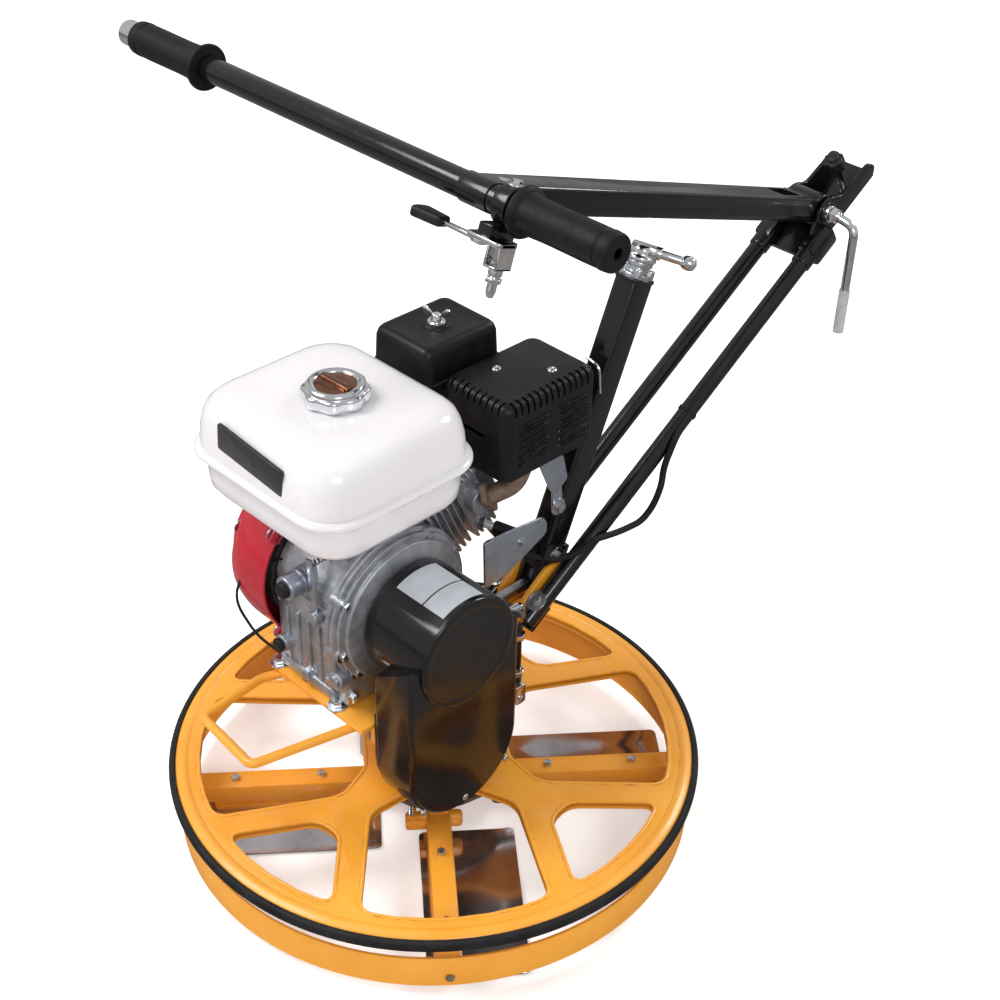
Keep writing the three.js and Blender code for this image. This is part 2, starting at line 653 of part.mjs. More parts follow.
function fuelCap() {
  const low = TANK.high + GAP;
  return turned('z', [[27, low], [32, low], [32, low + 13], [26, low + 16], [0, low + 16], [0, low + 6],
    [27, low + 6]], TANK.cap, MEDIUM);
}

function airCleanerBase() {
  const tray = roundedBlock(AIR.x, AIR.y, [482, AIR.split - GAP], 10);
  const elbow = block([-156, -137], [92, 130], [440, 484]);
  const inside = roundedBlock(grow(AIR.x, -4), grow(AIR.y, -4), [486, 520], 8);
  const passage = [rod('z', 7, 456, 500, [-147, 111]), rod('x', 9, -147, -100, INTAKE)];
  return cut(join(tray, elbow), inside, ...passage);
}

function airCleanerCover() {
  const shell = roundedBlock(AIR.x, AIR.y, [AIR.split - 6, AIR.top], 12, 6);
  const trimmed = cut(shell, block([-200, 0], [0, 200], [480, AIR.split]));
  const inside = roundedBlock(grow(AIR.x, -2.5), grow(AIR.y, -2.5), [480, AIR.top - 4], 10);
  const boss = rod('z', 9, AIR.top - 5, AIR.top + 4, [-113, 110], SMALL);
  return join(cut(trimmed, inside), boss);
}

function carburettor() {
  const throat = washer('x', 11, 16, -136.7, -112.3, INTAKE);
  const body = block([-134, -116], [96, 126], [424, 446]);
  const bowl = rod('z', 15, 404, 428, [-125, 111]);
  return join(throat, body, bowl);
}

function mufflerBody() {
  const can = roundedBlock([-48, 20], [72, 190], [448, 508], 16, 8);
  const inletPipe = bentBar([[10, 112, 452], [10, 112, 432], [8, 108, 418]], 11, 6);
  const tail = rod('x', 8, 18, 27, [172, 470], SMALL);
  return join(can, inletPipe, tail);
}

// A pressed cover, open below.
function mufflerGuard() {
  const { x, y, z } = MUFFLER;
  const shell = roundedBlock(x, y, [z[0] - 12, z[1]], 12, 8);
  const inside = roundedBlock(grow(x, -2), grow(y, -2), [z[0] - 20, z[1] - 2], 10, 7);
  return cut(shell, inside, block([-300, 300], [0, 300], [z[0] - 30, z[0]]));
}

function heatShield() {
  const shape = new THREE.Shape();
  shape.moveTo(52, 298);
  shape.lineTo(50, 361);
  shape.lineTo(141, 351);
  shape.lineTo(148, 340);
  shape.lineTo(148, 326);
  shape.lineTo(84, 298);
  const flange = block([-8, 27], [54, 57], [306, 352]);
  return join(drawnX(shape, 25, 27.5), flange);
}

function fanCover() {
  const front = -112.4;
  const profile = [[92, front], [95, front], [95, -160], [86, FAN_BACK], [52, FAN_BACK], [52, FAN_BACK + 3],
    [84.5, FAN_BACK + 3], [92, -158]];
  return cut(turned('x', profile, CRANK_AT, MEDIUM), block([-200, -100], [-300, 300], [100, PLATE_TOP + 4]));
}

function recoilHousing() {
  const [low, high] = [FAN_BACK - 27, FAN_BACK - 0.4];
  const profile = [[66, high], [70, high], [68, low + 11], [54, low + 1], [0, low], [0, low + 4],
    [52, low + 5], [64.5, low + 13]];
  const dome = turned('x', profile, CRANK_AT, MEDIUM);
  const [x] = RECOIL_ROPE;
  const ropeGuide = block(grow([x, x], 10), [10, 30], [338, 356]);
  return cut(join(dome, ropeGuide), rod('y', 4, -12, 38, RECOIL_ROPE, SMALL));
}

function recoilGrip() {
  const [x] = RECOIL_ROPE;
  const handle = roundedBlock(grow([x, x], 20), [34, 50], [340, 354], 6);
  const rope = rod('y', 2, -44, 36, RECOIL_ROPE, SMALL);
  return join(handle, rope);
}

function stopSwitch() {
  const barrel = rod('y', 14, -152, -128 - GAP, STOP_SWITCH);
  const knob = rod('y', 9, -158, -150, STOP_SWITCH, SMALL);
  return join(barrel, knob);
}

// ---------------------------------------------------------------- blade-pitch control

// Pieces of the column are drawn with the column upright, its foot at the origin.
function pitchColumn() {
  const { width, depth, top } = COLUMN;
  const wall = 2.5;
  const tube = block([-width / 2, width / 2], [-depth / 2, depth / 2], [12, top]);
  const [insideX, insideY] = [width, depth].map((size) => grow([0, 0], size / 2 - wall));
  const inside = block(insideX, insideY, [0, top - 4]);
  const arms = block([-7.5, 7.5], [-30, 0], [0, 52]);
  const screwHole = rod('z', fit(SCREW_R, SMALL), top - 10, top + 30, [0, 0], SMALL);
  const collar = rod('z', 15, top - 1, top + 20);
  return cut(join(tube, collar), inside, arms, screwHole);
}

function pitchNut() {
  const at = 33.6; // height along the column where the nut stands at rest
  const reach = 60; // from the screw's axis to the link pin
  const nutBody = block([-10, 10], [-10, 10], [at - 13, at + 13]);
  const bored = cut(nutBody, rod('z', fit(SCREW_R, SMALL), 0, 80, [0, 0], SMALL));
  const arm = block([-5, 5], [-reach - 5, -8], [-5, 5]).rotateX(COLUMN.lean).translate(0, 0, at);
  const pin = rod('x', 4.5, -5, 41, [-reach, 0], SMALL).rotateX(COLUMN.lean).translate(0, 0, at);
  return join(bored, arm, pin);
}

function pitchCrank() {
  const { top } = COLUMN;
  const screw = rod('z', SCREW_R, 16, top + 24, [0, 0], SMALL);
  const hub = rod('z', 17, top + 20 + GAP, top + 38, [0, 0]);
  const lever = rod('x', 5, 10, 50, [0, top + 33], SMALL).rotateZ(rad(35));
  const ball = new THREE.SphereGeometry(8, SMALL, 6).translate(52, 0, top + 33).rotateZ(rad(35));
  return join(screw, hub, lever, ball);
}

function pitchLink() {
  const [x, y] = [32, 100];
  const top = 240;
  const bar = rod('z', 5.5, YOKE_Z + 16, top - 14, [x, y], SMALL);
  const topEye = cut(block([x - 4, x + 4], [y - 18, y + 7], [top - 16, top + 10]),
    block([x - 6, x + 6], [y - 10, y], [top - 5, top + 5]),
    rod('x', 5, x - 6, x + 6, [y - 8, top], SMALL),
    rod('x', 5, x - 6, x + 6, [y, top], SMALL));
  const fork = cut(block([x - 9, x + 9], [y - 7, y + 7], [YOKE_Z - 8, YOKE_Z + 18]),
    block([x - 5, x + 5], [y - 20, y + 20], [YOKE_Z - 12, YOKE_Z + 10]));
  const pin = rod('x', 3.5, x - 7, x + 7, [y, YOKE_Z], SMALL);
  return join(bar, topEye, fork, pin);
}

function pitchYoke() {
  const sides = [[-40, -32.2], [32.2, 40]].map((x) =>
    cut(block(x, [-72, 72], [YOKE_Z - 7, YOKE_Z + 7]),
      block(grow(x, 1), [-7, 7], [YOKE_Z - 4.3, YOKE_Z + 4.3])));
  const bridge = block([-40, 40], [62, 72], [YOKE_Z - 6, YOKE_Z + 6]);
  const tongue = block([27.4, 36.6], [64, 108], [YOKE_Z - 6, YOKE_Z + 6]);
  const pivotPin = rod('x', SCREW_R, -36, 36, [YOKE_PIVOT_Y, YOKE_Z], SMALL);
  return cut(join(...sides, bridge, tongue, pivotPin), rod('x', 5, 20, 45, [100, YOKE_Z], SMALL));
}

// ---------------------------------------------------------------- handle

// Lower handle pieces are drawn with the tubes along +Y from their foot.
function lowerHandle() {
  const { spread, radius, start, end } = TUBE;
  const tubes = [-spread, spread].map((x) =>
    cut(rod('y', radius, start, end, [x, 0]), rod('y', radius - 2.2, start - 2, end - 8, [x, 0], SMALL)));
  const crossBody = cut(roundedBlock([-46, 46], [574, 618], [-15, 12], 5),
    block([-23.5, 23.5], [560, 630], [-4, 20]));
  const web = block([-29, 29], [604, 712], [-15, -9]);
  const cheeks = [[-29, -23.5], [23.5, 29]].map((x) => {
    const shape = new THREE.Shape();
    shape.moveTo(590, -15);
    shape.lineTo(712, -15);
    shape.lineTo(716, 4);
    shape.lineTo(700, 20);
    shape.absarc(PIVOT.along, PIVOT.above, 22, rad(20), rad(170), false);
    shape.lineTo(590, 8);
    return drawnX(shape, ...x);
  });
  const boltHole = rod('x', fit(CLAMP_R), -60, 60, [PIVOT.along, PIVOT.above]);
  const knobHole = rod('z', fit(SCREW_R, SMALL), -30, 10, [0, KNOB_ALONG], SMALL);
  return cut(join(...tubes, crossBody, web, ...cheeks), boltHole, knobHole);
}

function lockKnob() {
  const shank = rod('z', SCREW_R, -22, 16, [0, KNOB_ALONG], SMALL);
  const head = turned('z', [[0, 14], [9, 14], [12, 20], [12, 32], [8, 37], [0, 38]], [0, KNOB_ALONG]);
  return join(shank, head);
}

// The clamp bolt runs through both cheeks and carries the bent lever at its end.
function clampLever() {
  const bolt = rod('x', CLAMP_R, -38, 50, [0, 0]);
  const head = rod('x', 11, -38, -29.5, [0, 0], 6);
  const collar = rod('x', 10.5, 29.5, 36, [0, 0]);
  const lever = bentBar([[44, 0, 0], [72, -2, -4], [77, -14, -136]], 5.5, 22);
  return join(bolt, head, collar, lever);
}

// Upper handle pieces are drawn with the fold axis at the origin and the bar along +Y.
function upperHandle() {
  const { width, height, wall } = BAR;
  const bar = block([-width / 2, width / 2], [0, BAR_LENGTH - 6], [-height / 2, height / 2]);
  const knuckle = rod('x', 20, -width / 2, width / 2, [0, 0], MEDIUM);
  const [insideX, insideZ] = [width, height].map((size) => grow([0, 0], size / 2 - wall));
  const inside = block(insideX, [92, BAR_LENGTH - 18], insideZ);
  const knobSlot = block([-13.5, 13.5], [42, 80], [-30, 30]);
  const pivotHole = rod('x', fit(CLAMP_R), -60, 60);
  const breather = rod('z', 3, -30, 0, [0, 300], SMALL);
  const crossbar = rod('x', CROSSBAR.radius, CROSSBAR.left, CROSSBAR.right, [BAR_LENGTH, 0]);
  const bore = rod('x', CROSSBAR.radius - 2.2, CROSSBAR.left - 5, CROSSBAR.right + 5, [BAR_LENGTH, 0]);
  const gusset = roundedBlock([-24, 24], [BAR_LENGTH - 34, BAR_LENGTH - 4], [-9, 9], 6);
  return cut(join(cut(join(bar, knuckle), inside, knobSlot, pivotHole, breather), crossbar, gusset), bore);
}

// A rubber sleeve with an inner flange, drawn along X towards its closed or open outer end.
function grip(inner, outer, closed) {
  const side = Math.sign(outer - inner);
  const hole = CROSSBAR.radius + GAP;
  const at = (distance) => inner + side * distance;
  const length = Math.abs(outer - inner);
  const profile = [[hole, at(0)], [27, at(0)], [27, at(6)], [GRIP_R, at(9)]];
  profile.push([GRIP_R, at(length)]);
  if (closed) profile.push([6, at(length)], [6, at(length - 3.5)], [hole, at(length - 3.5)]);
  else profile.push([hole, at(length)]);
  return turned('x', profile, [BAR_LENGTH, 0]);
}

// The throttle hangs from a ring on the crossbar: a platform with the lever's pivot, and the cable's bracket.
function throttleHousing() {
  const { x, ahead, platform } = THROTTLE;
  const cableX = x + 19;
  const ring = washer('x', CROSSBAR.radius + GAP, 21, x - 9, x + 9, [BAR_LENGTH, 0], ROUND);
  const neck = block([x - 9, x + 9], [BAR_LENGTH - 6, ahead + 9], [17, platform + 5]);
  const deck = block([x - 18, cableX + 9], [ahead - 15, ahead + 15], [platform, platform + 5]);
  const cheeks = [cableX - 9, cableX + 6].map((low) =>
    block([low, low + 3], [ahead - 11, ahead + 11], [platform, platform + 27]));
  const bridge = block([cableX - 9, cableX + 9], [ahead - 11, ahead + 11], [platform + 24, platform + 27]);
  const adjuster = rod('z', 6, platform + 25, platform + 56, [cableX, ahead]);
  const pivotHole = rod('z', fit(3, SMALL), platform - 20, platform + 10, [x - 10, ahead], SMALL);
  const cableHole = rod('z', 1.5, platform + 10, platform + 60, [cableX, ahead], SMALL);
  return cut(join(ring, neck, deck, ...cheeks, bridge, adjuster), pivotHole, cableHole,
    rod('x', CROSSBAR.radius + GAP, x - 20, x + 20, [BAR_LENGTH, 0]));
}

function throttleLever() {
  const { x, ahead, platform } = THROTTLE;
  const low = platform + 5 + GAP;
  const disc = rod('z', 9, low, low + 6, [x - 10, ahead]);
  const stud = rod('z', 3, platform - 6, low + 5, [x - 10, ahead], SMALL);
  const arm = block([-30, x - 12], [ahead - 3, ahead + 3], [low + 1, low + 5]);
  const paddle = raised(roundedRectangle([-64, -20], [ahead - 13, ahead + 13], 6), low - 3, low + 9, 3);
  return join(disc, stud, arm, paddle);
}

// ---------------------------------------------------------------- assembly

function rotorGroup() {
  const rotor = group([0, 0, 0], [0, 0, ROTOR_PHASE],
    node('output_shaft', outputShaft(), steel()),
    node('spider', spider(), orange()),
    node('stabiliser_hoop', stabiliserHoop(), orange()),
    node('pressure_plate', pressurePlate(), steel()));
  for (let i = 0; i < ARM_COUNT; i += 1) {
    rotor.add(group([0, 0, 0], [0, 0, (i * 2 * Math.PI) / ARM_COUNT],
      node(`trowel_arm_${i + 1}`, trowelArm(), orange()),
      node(`blade_${i + 1}`, blade(), bladeSteel())));
  }
  return rotor;
}

function gearboxGroup() {
  return group([0, 0, 0], [0, 0, 0],
    node('gearbox_housing', gearboxHousing(), orange()),
    node('gearbox_lid', gearboxLid(), orange()),
    node('output_bearing', outputBearing(), steel()),
    node('guard_bearing', guardBearing(), steel()),
    node('worm_wheel', wormWheel(), bronze()),
    node('worm_shaft', wormShaft(), steel()),
    node('pitch_sleeve', pitchSleeve(), steel()));
}

function driveGroup() {
  return group([0, 0, 0], [0, 0, 0],
    node('clutch_hub', clutchHub(), castIron()),
    node('clutch_drum', clutchDrum(), steel()),
    node('driven_pulley', drivenPulley(), castIron()),
    node('drive_belt', driveBelt(), rubber()),
    node('belt_cover', beltCover(), glossBlack()),
    node('belt_cover_back', beltCoverBack(), glossBlack()));
}

function engineGroup() {
  return group([0, 0, 0], [0, 0, 0],
    node('crankcase', crankcase(), castAluminium()),
    node('crankcase_cover', crankcaseCover(), castAluminium()),
    node('crankshaft', crankshaft(), steel()),
    node('flywheel', flywheel(), castIron()),
    node('cylinder_barrel', cylinderBarrel(), castAluminium()),
    node('cylinder_head', cylinderHead(), castAluminium()),
    node('fuel_tank', fuelTank(), whiteEnamel()),
    node('fuel_cap', fuelCap(), chrome()),
    node('air_cleaner_base', airCleanerBase(), satinBlack()),
    node('air_cleaner_cover', airCleanerCover(), satinBlack()),
    node('carburettor', carburettor(), castAluminium()),
    node('muffler_body', mufflerBody(), castIron()),
    node('muffler_guard', mufflerGuard(), satinBlack()),
    node('heat_shield', heatShield(), bareSheet()),
    node('fan_cover', fanCover(), redEnamel()),
    node('recoil_housing', recoilHousing(), redEnamel()),
    node('recoil_grip', recoilGrip(), satinBlack()),
    node('stop_switch', stopSwitch(), bareSheet()));
}

function columnGroup() {
  return group(COLUMN.foot, [-COLUMN.lean, 0, 0],
    node('pitch_column', pitchColumn(), glossBlack()),
    node('pitch_nut', pitchNut(), steel()),
    node('pitch_crank', pitchCrank(), chrome()));
}

function handleGroup() {
  const fold = group([0, PIVOT.along, PIVOT.above], [FOLD - TUBE.slope, 0, 0],
    node('upper_handle', upperHandle(), glossBlack()),
    node('grip_left', grip(-446, -576, false), rubber()),
    node('grip_right', grip(54, 176, true), rubber()),
    node('throttle_housing', throttleHousing(), chrome()),
    node('throttle_lever', throttleLever(), satinBlack()));
  const clamp = group([0, PIVOT.along, PIVOT.above], [-TUBE.slope, 0, 0],
    node('clamp_lever', clampLever(), chrome()));
  return group(TUBE.foot, [TUBE.slope, 0, 0],
    node('lower_handle', lowerHandle(), glossBlack()),
    node('lock_knob', lockKnob(), satinBlack()),
    clamp, fold);
}

const trowel = new THREE.Group();
trowel.add(
  rotorGroup(),
  group([0, 0, 0], [0, 0, WHEEL_PHASE],
    node('guard_wheel', guardWheel(), orange()),
    node('guard_band', guardBand(), rubber())),
  gearboxGroup(),
  group([0, 0, 0], [0, 0, 0],
    node('engine_plate', enginePlate(), orange()),
    node('guard_bar', guardBar(), orange()),
    node('pitch_link', pitchLink(), chrome()),
    node('pitch_yoke', pitchYoke(), steel())),
  driveGroup(),
  engineGroup(),
  columnGroup(),
  handleGroup());

// The frame's origin is the middle of the footprint, on the floor.
const middle = new THREE.Box3().setFromObject(trowel, true).getCenter(new THREE.Vector3());
trowel.position.set(-middle.x, -middle.y, 0);

export default trowel;
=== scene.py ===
"""Walk-behind power trowel: its looks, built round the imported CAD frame.

Shapes are drawn in millimetres from the point on the floor under the rotor axis, +Z up, +X along the engine's
crankshaft, +Y towards the handle. `piece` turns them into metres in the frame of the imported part.
"""

import json
import math

import bmesh
import bpy
from mathutils import Matrix, Vector

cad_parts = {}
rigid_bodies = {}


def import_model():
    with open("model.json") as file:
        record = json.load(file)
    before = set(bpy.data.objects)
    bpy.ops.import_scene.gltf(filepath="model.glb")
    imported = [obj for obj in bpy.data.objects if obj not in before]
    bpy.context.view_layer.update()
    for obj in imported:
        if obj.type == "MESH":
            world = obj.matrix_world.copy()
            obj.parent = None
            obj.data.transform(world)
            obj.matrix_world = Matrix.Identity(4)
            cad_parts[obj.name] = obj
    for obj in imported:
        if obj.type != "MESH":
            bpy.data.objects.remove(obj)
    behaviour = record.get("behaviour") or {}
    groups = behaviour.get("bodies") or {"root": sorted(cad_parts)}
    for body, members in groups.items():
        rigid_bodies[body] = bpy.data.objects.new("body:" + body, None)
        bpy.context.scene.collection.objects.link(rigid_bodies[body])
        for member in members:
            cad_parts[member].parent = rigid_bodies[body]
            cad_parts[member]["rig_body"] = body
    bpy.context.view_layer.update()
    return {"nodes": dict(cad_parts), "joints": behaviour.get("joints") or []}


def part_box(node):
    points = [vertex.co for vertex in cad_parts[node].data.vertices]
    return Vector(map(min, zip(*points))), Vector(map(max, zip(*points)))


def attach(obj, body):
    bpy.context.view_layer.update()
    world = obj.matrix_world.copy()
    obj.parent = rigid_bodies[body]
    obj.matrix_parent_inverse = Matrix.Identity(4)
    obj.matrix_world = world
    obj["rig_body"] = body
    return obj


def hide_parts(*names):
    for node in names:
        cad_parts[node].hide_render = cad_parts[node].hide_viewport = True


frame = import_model()

MM = 0.001
JOINTS = {joint["name"]: joint for joint in frame["joints"]}
ROTOR = Vector(JOINTS["rotor_spin"]["pos_m"])
UP, DOWN, RIGHT, LEFT, FRONT = (0, 0, 1), (0, 0, -1), (1, 0, 0), (-1, 0, 0), (0, -1, 0)
AXES = {"x": Matrix(((0, 0, 1), (1, 0, 0), (0, 1, 0))), "y": Matrix(((1, 0, 0), (0, 0, 1), (0, 1, 0))),
        "z": Matrix.Identity(3)}


def axis_of(joint):
    """Where a joint's axis lies, in millimetres from the foot of the rotor axis."""
    return (Vector(JOINTS[joint]["pos_m"]) - ROTOR) / MM


def extent(node):
    """A CAD node's lowest and highest corners, in millimetres from the foot of the rotor axis."""
    low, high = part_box(node)
    return (Vector(low) - ROTOR) / MM, (Vector(high) - ROTOR) / MM


# ---------------------------------------------------------------- outlines


def arc(radius, start, end, steps=12, centre=(0, 0)):
    """Points of an arc, angles in degrees."""
    return around(radius, [start + (end - start) * i / steps for i in range(steps + 1)], centre)


def around(radius, turns, centre=(0, 0)):
    """A point of a circle for each of the angles, in degrees."""
    return [(centre[0] + radius * math.cos(math.radians(turn)),
             centre[1] + radius * math.sin(math.radians(turn))) for turn in turns]


def fillet(points, radius=0, steps=4):
    """A closed outline with its corners rounded. A point is (x, y), or (x, y, radius) for its own radius."""
    result = []
    for i, (x, y, *own) in enumerate(points):
        here = Vector((x, y))
        before = Vector(points[i - 1][:2]) - here
        after = Vector(points[(i + 1) % len(points)][:2]) - here
        reach = min(own[0] if own else radius, 0.45 * before.length, 0.45 * after.length)
        if reach < 0.01:
            result.append(tuple(here))
            continue
        start = here + before.normalized() * reach
        end = here + after.normalized() * reach
        for step in range(steps + 1):
            t = step / steps
            result.append(tuple(start * (1 - t) ** 2 + here * (2 * t * (1 - t)) + end * t ** 2))
    return result


def smooth(outline):
    """Rounds an outline whose corners carry radii, and leaves any other as it is."""
    return fillet(outline) if any(len(point) > 2 for point in outline) else outline


def lobed(radius, wave, lobes, steps):
    """A round outline whose radius rises and falls once for each lobe."""
    turns = [2 * math.pi * i / steps for i in range(steps)]
    radii = [radius + wave * math.cos(lobes * turn) for turn in turns]
    return [(r * math.cos(turn), r * math.sin(turn)) for r, turn in zip(radii, turns)]


def hexagon(radius):
    """A hexagon, its corners at the given radius."""
    return arc(radius, 0, 360, 6)[:-1]


def rectangle(x, y, radius=0, steps=6):
    corners = [(x[0], y[0]), (x[1], y[0]), (x[1], y[1]), (x[0], y[1])]
    if radius <= 0:
        return corners
    points = []
    centres = [(x[0] + radius, y[0] + radius), (x[1] - radius, y[0] + radius), (x[1] - radius, y[1] - radius),
               (x[0] + radius, y[1] - radius)]
    for i, centre in enumerate(centres):
        points += arc(radius, 180 + 90 * i, 270 + 90 * i, steps, centre)
    return points


# ---------------------------------------------------------------- shapes


def mesh_of(vertices, faces):
    shape = bmesh.new()
    corners = [shape.verts.new(vertex) for vertex in vertices]
    for face in faces:
        shape.faces.new([corners[i] for i in face])
    return shape


def added(name, data):
    """A new object in the scene."""
    holder = bpy.data.objects.new(name, data)
    bpy.context.scene.collection.objects.link(holder)
    return holder


def joined(shapes):
    """Several shapes as one."""
    whole = bmesh.new()
    for shape in shapes:
        mesh = bpy.data.meshes.new("part")
        shape.to_mesh(mesh)
        shape.free()
        whole.from_mesh(mesh)
        bpy.data.meshes.remove(mesh)
    return whole


def settle(shape, axis="z"):
    """Closes the seams, faces every face outwards and turns the shape from +Z onto its axis."""
    bmesh.ops.remove_doubles(shape, verts=shape.verts, dist=1e-3)
    bmesh.ops.transform(shape, matrix=AXES[axis].to_4x4(), verts=shape.verts)
    bmesh.ops.recalc_face_normals(shape, faces=shape.faces)
    return shape


def moved(shape, offset=(0, 0, 0), turn=(0, 0, 0)):
    """Turns a shape about x, then y, then z, in degrees, and moves it."""
    matrix = Matrix.Translation(offset)
    for angle, letter in zip(reversed(turn), "ZYX"):
        matrix = matrix @ Matrix.Rotation(math.radians(angle), 4, letter)
    bmesh.ops.transform(shape, matrix=matrix, verts=shape.verts)
    return shape


def aimed(shape, position, direction):
    """Moves a shape drawn along +Z to a position, pointing in a direction."""
    turn = Vector((0, 0, 1)).rotation_difference(Vector(direction)).to_matrix().to_4x4()
    bmesh.ops.transform(shape, matrix=Matrix.Translation(position) @ turn, verts=shape.verts)
    return shape


def turned(axis, profile, centre=(0, 0), steps=72):
    """A closed profile of (radius, height) or (radius, height, corner radius) points turned about an axis."""
    profile = smooth(profile)
    count = len(profile)
    vertices = []
    faces = []
    for step in range(steps):
        angle = 2 * math.pi * step / steps
        vertices += [(radius * math.cos(angle), radius * math.sin(angle), height) for radius,
                     height in profile]
        for i in range(count):
            j = (i + 1) % count
            after = (step + 1) % steps
            faces.append((step * count + i, after * count + i, after * count + j, step * count + j))
    shape = settle(mesh_of(vertices, faces), axis)
    offset = {"x": (0, centre[0], centre[1]), "y": (centre[0], 0, centre[1]),
              "z": (centre[0], centre[1], 0)}[axis]
    return moved(shape, offset)


def drum(axis, radius, low, high, centre=(0, 0), edge=1.0, hole=0, steps=48):
    """A cylinder or a ring with rounded edges."""
    inner = edge if hole else 0
    corners = [(hole, low, inner), (radius, low, edge), (radius, high, edge), (hole, high, inner)]
    return turned(axis, corners, centre, steps)


def prism(outline, low, high, axis="z", edge=0.0, segments=3):
    """An outline in the two other coordinates, drawn out along an axis, its two end edges rounded."""
    outline = smooth(outline)
    count = len(outline)
    vertices = [(x, y, z) for z in (low, high) for x, y in outline]
    faces = [tuple(range(count)), tuple(range(count, 2 * count))]
    faces += [(i, (i + 1) % count, count + (i + 1) % count, count + i) for i in range(count)]
    shape = mesh_of(vertices, faces)
    bmesh.ops.recalc_face_normals(shape, faces=shape.faces)
    if edge > 0:
        shape.faces.ensure_lookup_table()
        rims = {e for face in shape.faces[:2] for e in face.edges}
        bmesh.ops.bevel(shape, geom=list(rims), offset=edge, segments=segments, profile=0.5, affect="EDGES",
                        clamp_overlap=True)
    return settle(shape, axis)


def block(x, y, z, edge=1.0, segments=2):
    """A box with all its edges rounded."""
    vertices = [(i, j, k) for k in z for j in y for i in x]
    faces = [(0, 1, 3, 2), (4, 6, 7, 5), (0, 4, 5, 1), (2, 3, 7, 6), (0, 2, 6, 4), (1, 5, 7, 3)]
    shape = mesh_of(vertices, faces)
    bmesh.ops.recalc_face_normals(shape, faces=shape.faces)
    if edge > 0:
        bmesh.ops.bevel(shape, geom=shape.edges[:], offset=edge, segments=segments, profile=0.5,
                        affect="EDGES", clamp_overlap=True)
    return shape


def sheet(loops, low, high, edge=0.8, axis="z"):
    """A flat plate: the first loop is its outside and the others are its windows."""
    curve = bpy.data.curves.new("loops", "CURVE")
    curve.dimensions = "2D"
    curve.fill_mode = "BOTH"
    curve.extrude = (high - low) / 2 - edge
    curve.bevel_depth = edge
    curve.bevel_resolution = 1
    curve.offset = -edge
    for i, loop in enumerate(loops):
        area = sum(a[0] * b[1] - b[0] * a[1] for a, b in zip(loop, loop[1:] + loop[:1]))
        points = loop if (area > 0) == (i == 0) else loop[::-1]
        spline = curve.splines.new("POLY")
        spline.points.add(len(points) - 1)
        for at, point in zip(spline.points, points):
            at.co = (point[0], point[1], 0, 1)
        spline.use_cyclic_u = True
    holder = added("loops", curve)
    mesh = bpy.data.meshes.new_from_object(holder.evaluated_get(bpy.context.evaluated_depsgraph_get()))
    shape = bmesh.new()
    shape.from_mesh(mesh)
    bpy.data.objects.remove(holder)
    bpy.data.curves.remove(curve)
    bpy.data.meshes.remove(mesh)
    bmesh.ops.translate(shape, vec=(0, 0, (low + high) / 2), verts=shape.verts)
    return settle(shape, axis)


def rounded_path(points, corner, steps=6):
    """A polyline in space with each inner corner turned into a curve."""
    result = [Vector(points[0])]
    for before, here, after in zip(points, points[1:], points[2:]):
        here = Vector(here)
        into = Vector(before) - here
        out = Vector(after) - here
        reach = min(corner, 0.45 * into.length, 0.45 * out.length)
        start = here + into.normalized() * reach
        end = here + out.normalized() * reach
        for step in range(steps + 1):
            t = step / steps
            result.append(start * (1 - t) ** 2 + here * (2 * t * (1 - t)) + end * t ** 2)
    result.append(Vector(points[-1]))
    return result


def swept(path, section, closed=False):
    """A closed section of (across, up) points carried along a path in space without twisting."""
    path = [Vector(point) for point in path]
    count = len(path)
    vertices = []
    side = None
    for i, point in enumerate(path):
        ahead = path[(i + 1) % count] if closed or i + 1 < count else point
        behind = path[i - 1] if closed or i > 0 else point
        along = (ahead - behind).normalized()
        if side is None:
            side = along.cross(Vector((0, 0, 1)) if abs(along.z) < 0.9 else Vector((0, 1, 0))).normalized()
        side = (side - along * side.dot(along)).normalized()
        up = side.cross(along)
        vertices += [tuple(point + side * across + up * rise) for across, rise in section]
    size = len(section)
    faces = []
    for i in range(count if closed else count - 1):
        after = (i + 1) % count
        for j in range(size):
            k = (j + 1) % size
            faces.append((i * size + j, after * size + j, after * size + k, i * size + k))
    if not closed:
        faces += [tuple(range(size)), tuple(range((count - 1) * size, count * size))]
    return settle(mesh_of(vertices, faces))


def rod(points, radius, corner=0.0, sides=20, closed=False):
    """A round bar or cable along a path."""
    path = points if closed or len(points) == 2 else rounded_path(points, corner)
    return swept(path, arc(radius, 0, 360, sides)[:-1], closed)


def carved(shape, *cutters):
    """A shape with other shapes cut out of it."""
    solid = as_object(shape)
    for cutter in cutters:
        tool = as_object(cutter)
        modifier = solid.modifiers.new("cut", "BOOLEAN")
        modifier.operation = "DIFFERENCE"
        modifier.solver = "EXACT"
        modifier.object = tool
    mesh = bpy.data.meshes.new_from_object(solid.evaluated_get(bpy.context.evaluated_depsgraph_get()))
    for holder in [solid] + [modifier.object for modifier in solid.modifiers]:
        bpy.data.meshes.remove(holder.data)
    result = bmesh.new()
    result.from_mesh(mesh)
    bpy.data.meshes.remove(mesh)
    return result


def as_object(shape):
    mesh = bpy.data.meshes.new("shape")
    shape.to_mesh(mesh)
    shape.free()
    return added("shape", mesh)


# ---------------------------------------------------------------- fasteners


def bolt(position, direction, across=10.0, height=5.0, washer=True):
    """A hexagon head with a chamfered top, on a washer."""
    radius = across / 2 / math.cos(math.pi / 6)
    foot = 1.4 if washer else 0.0
    head = prism(hexagon(radius), foot - 0.5, foot + height, edge=0.9, segments=2)
    shapes = [head]
    if washer:
        shapes.append(drum("z", across * 0.95, -0.5, foot, edge=0.4, steps=24))
    return [aimed(shape, position, direction) for shape in shapes]


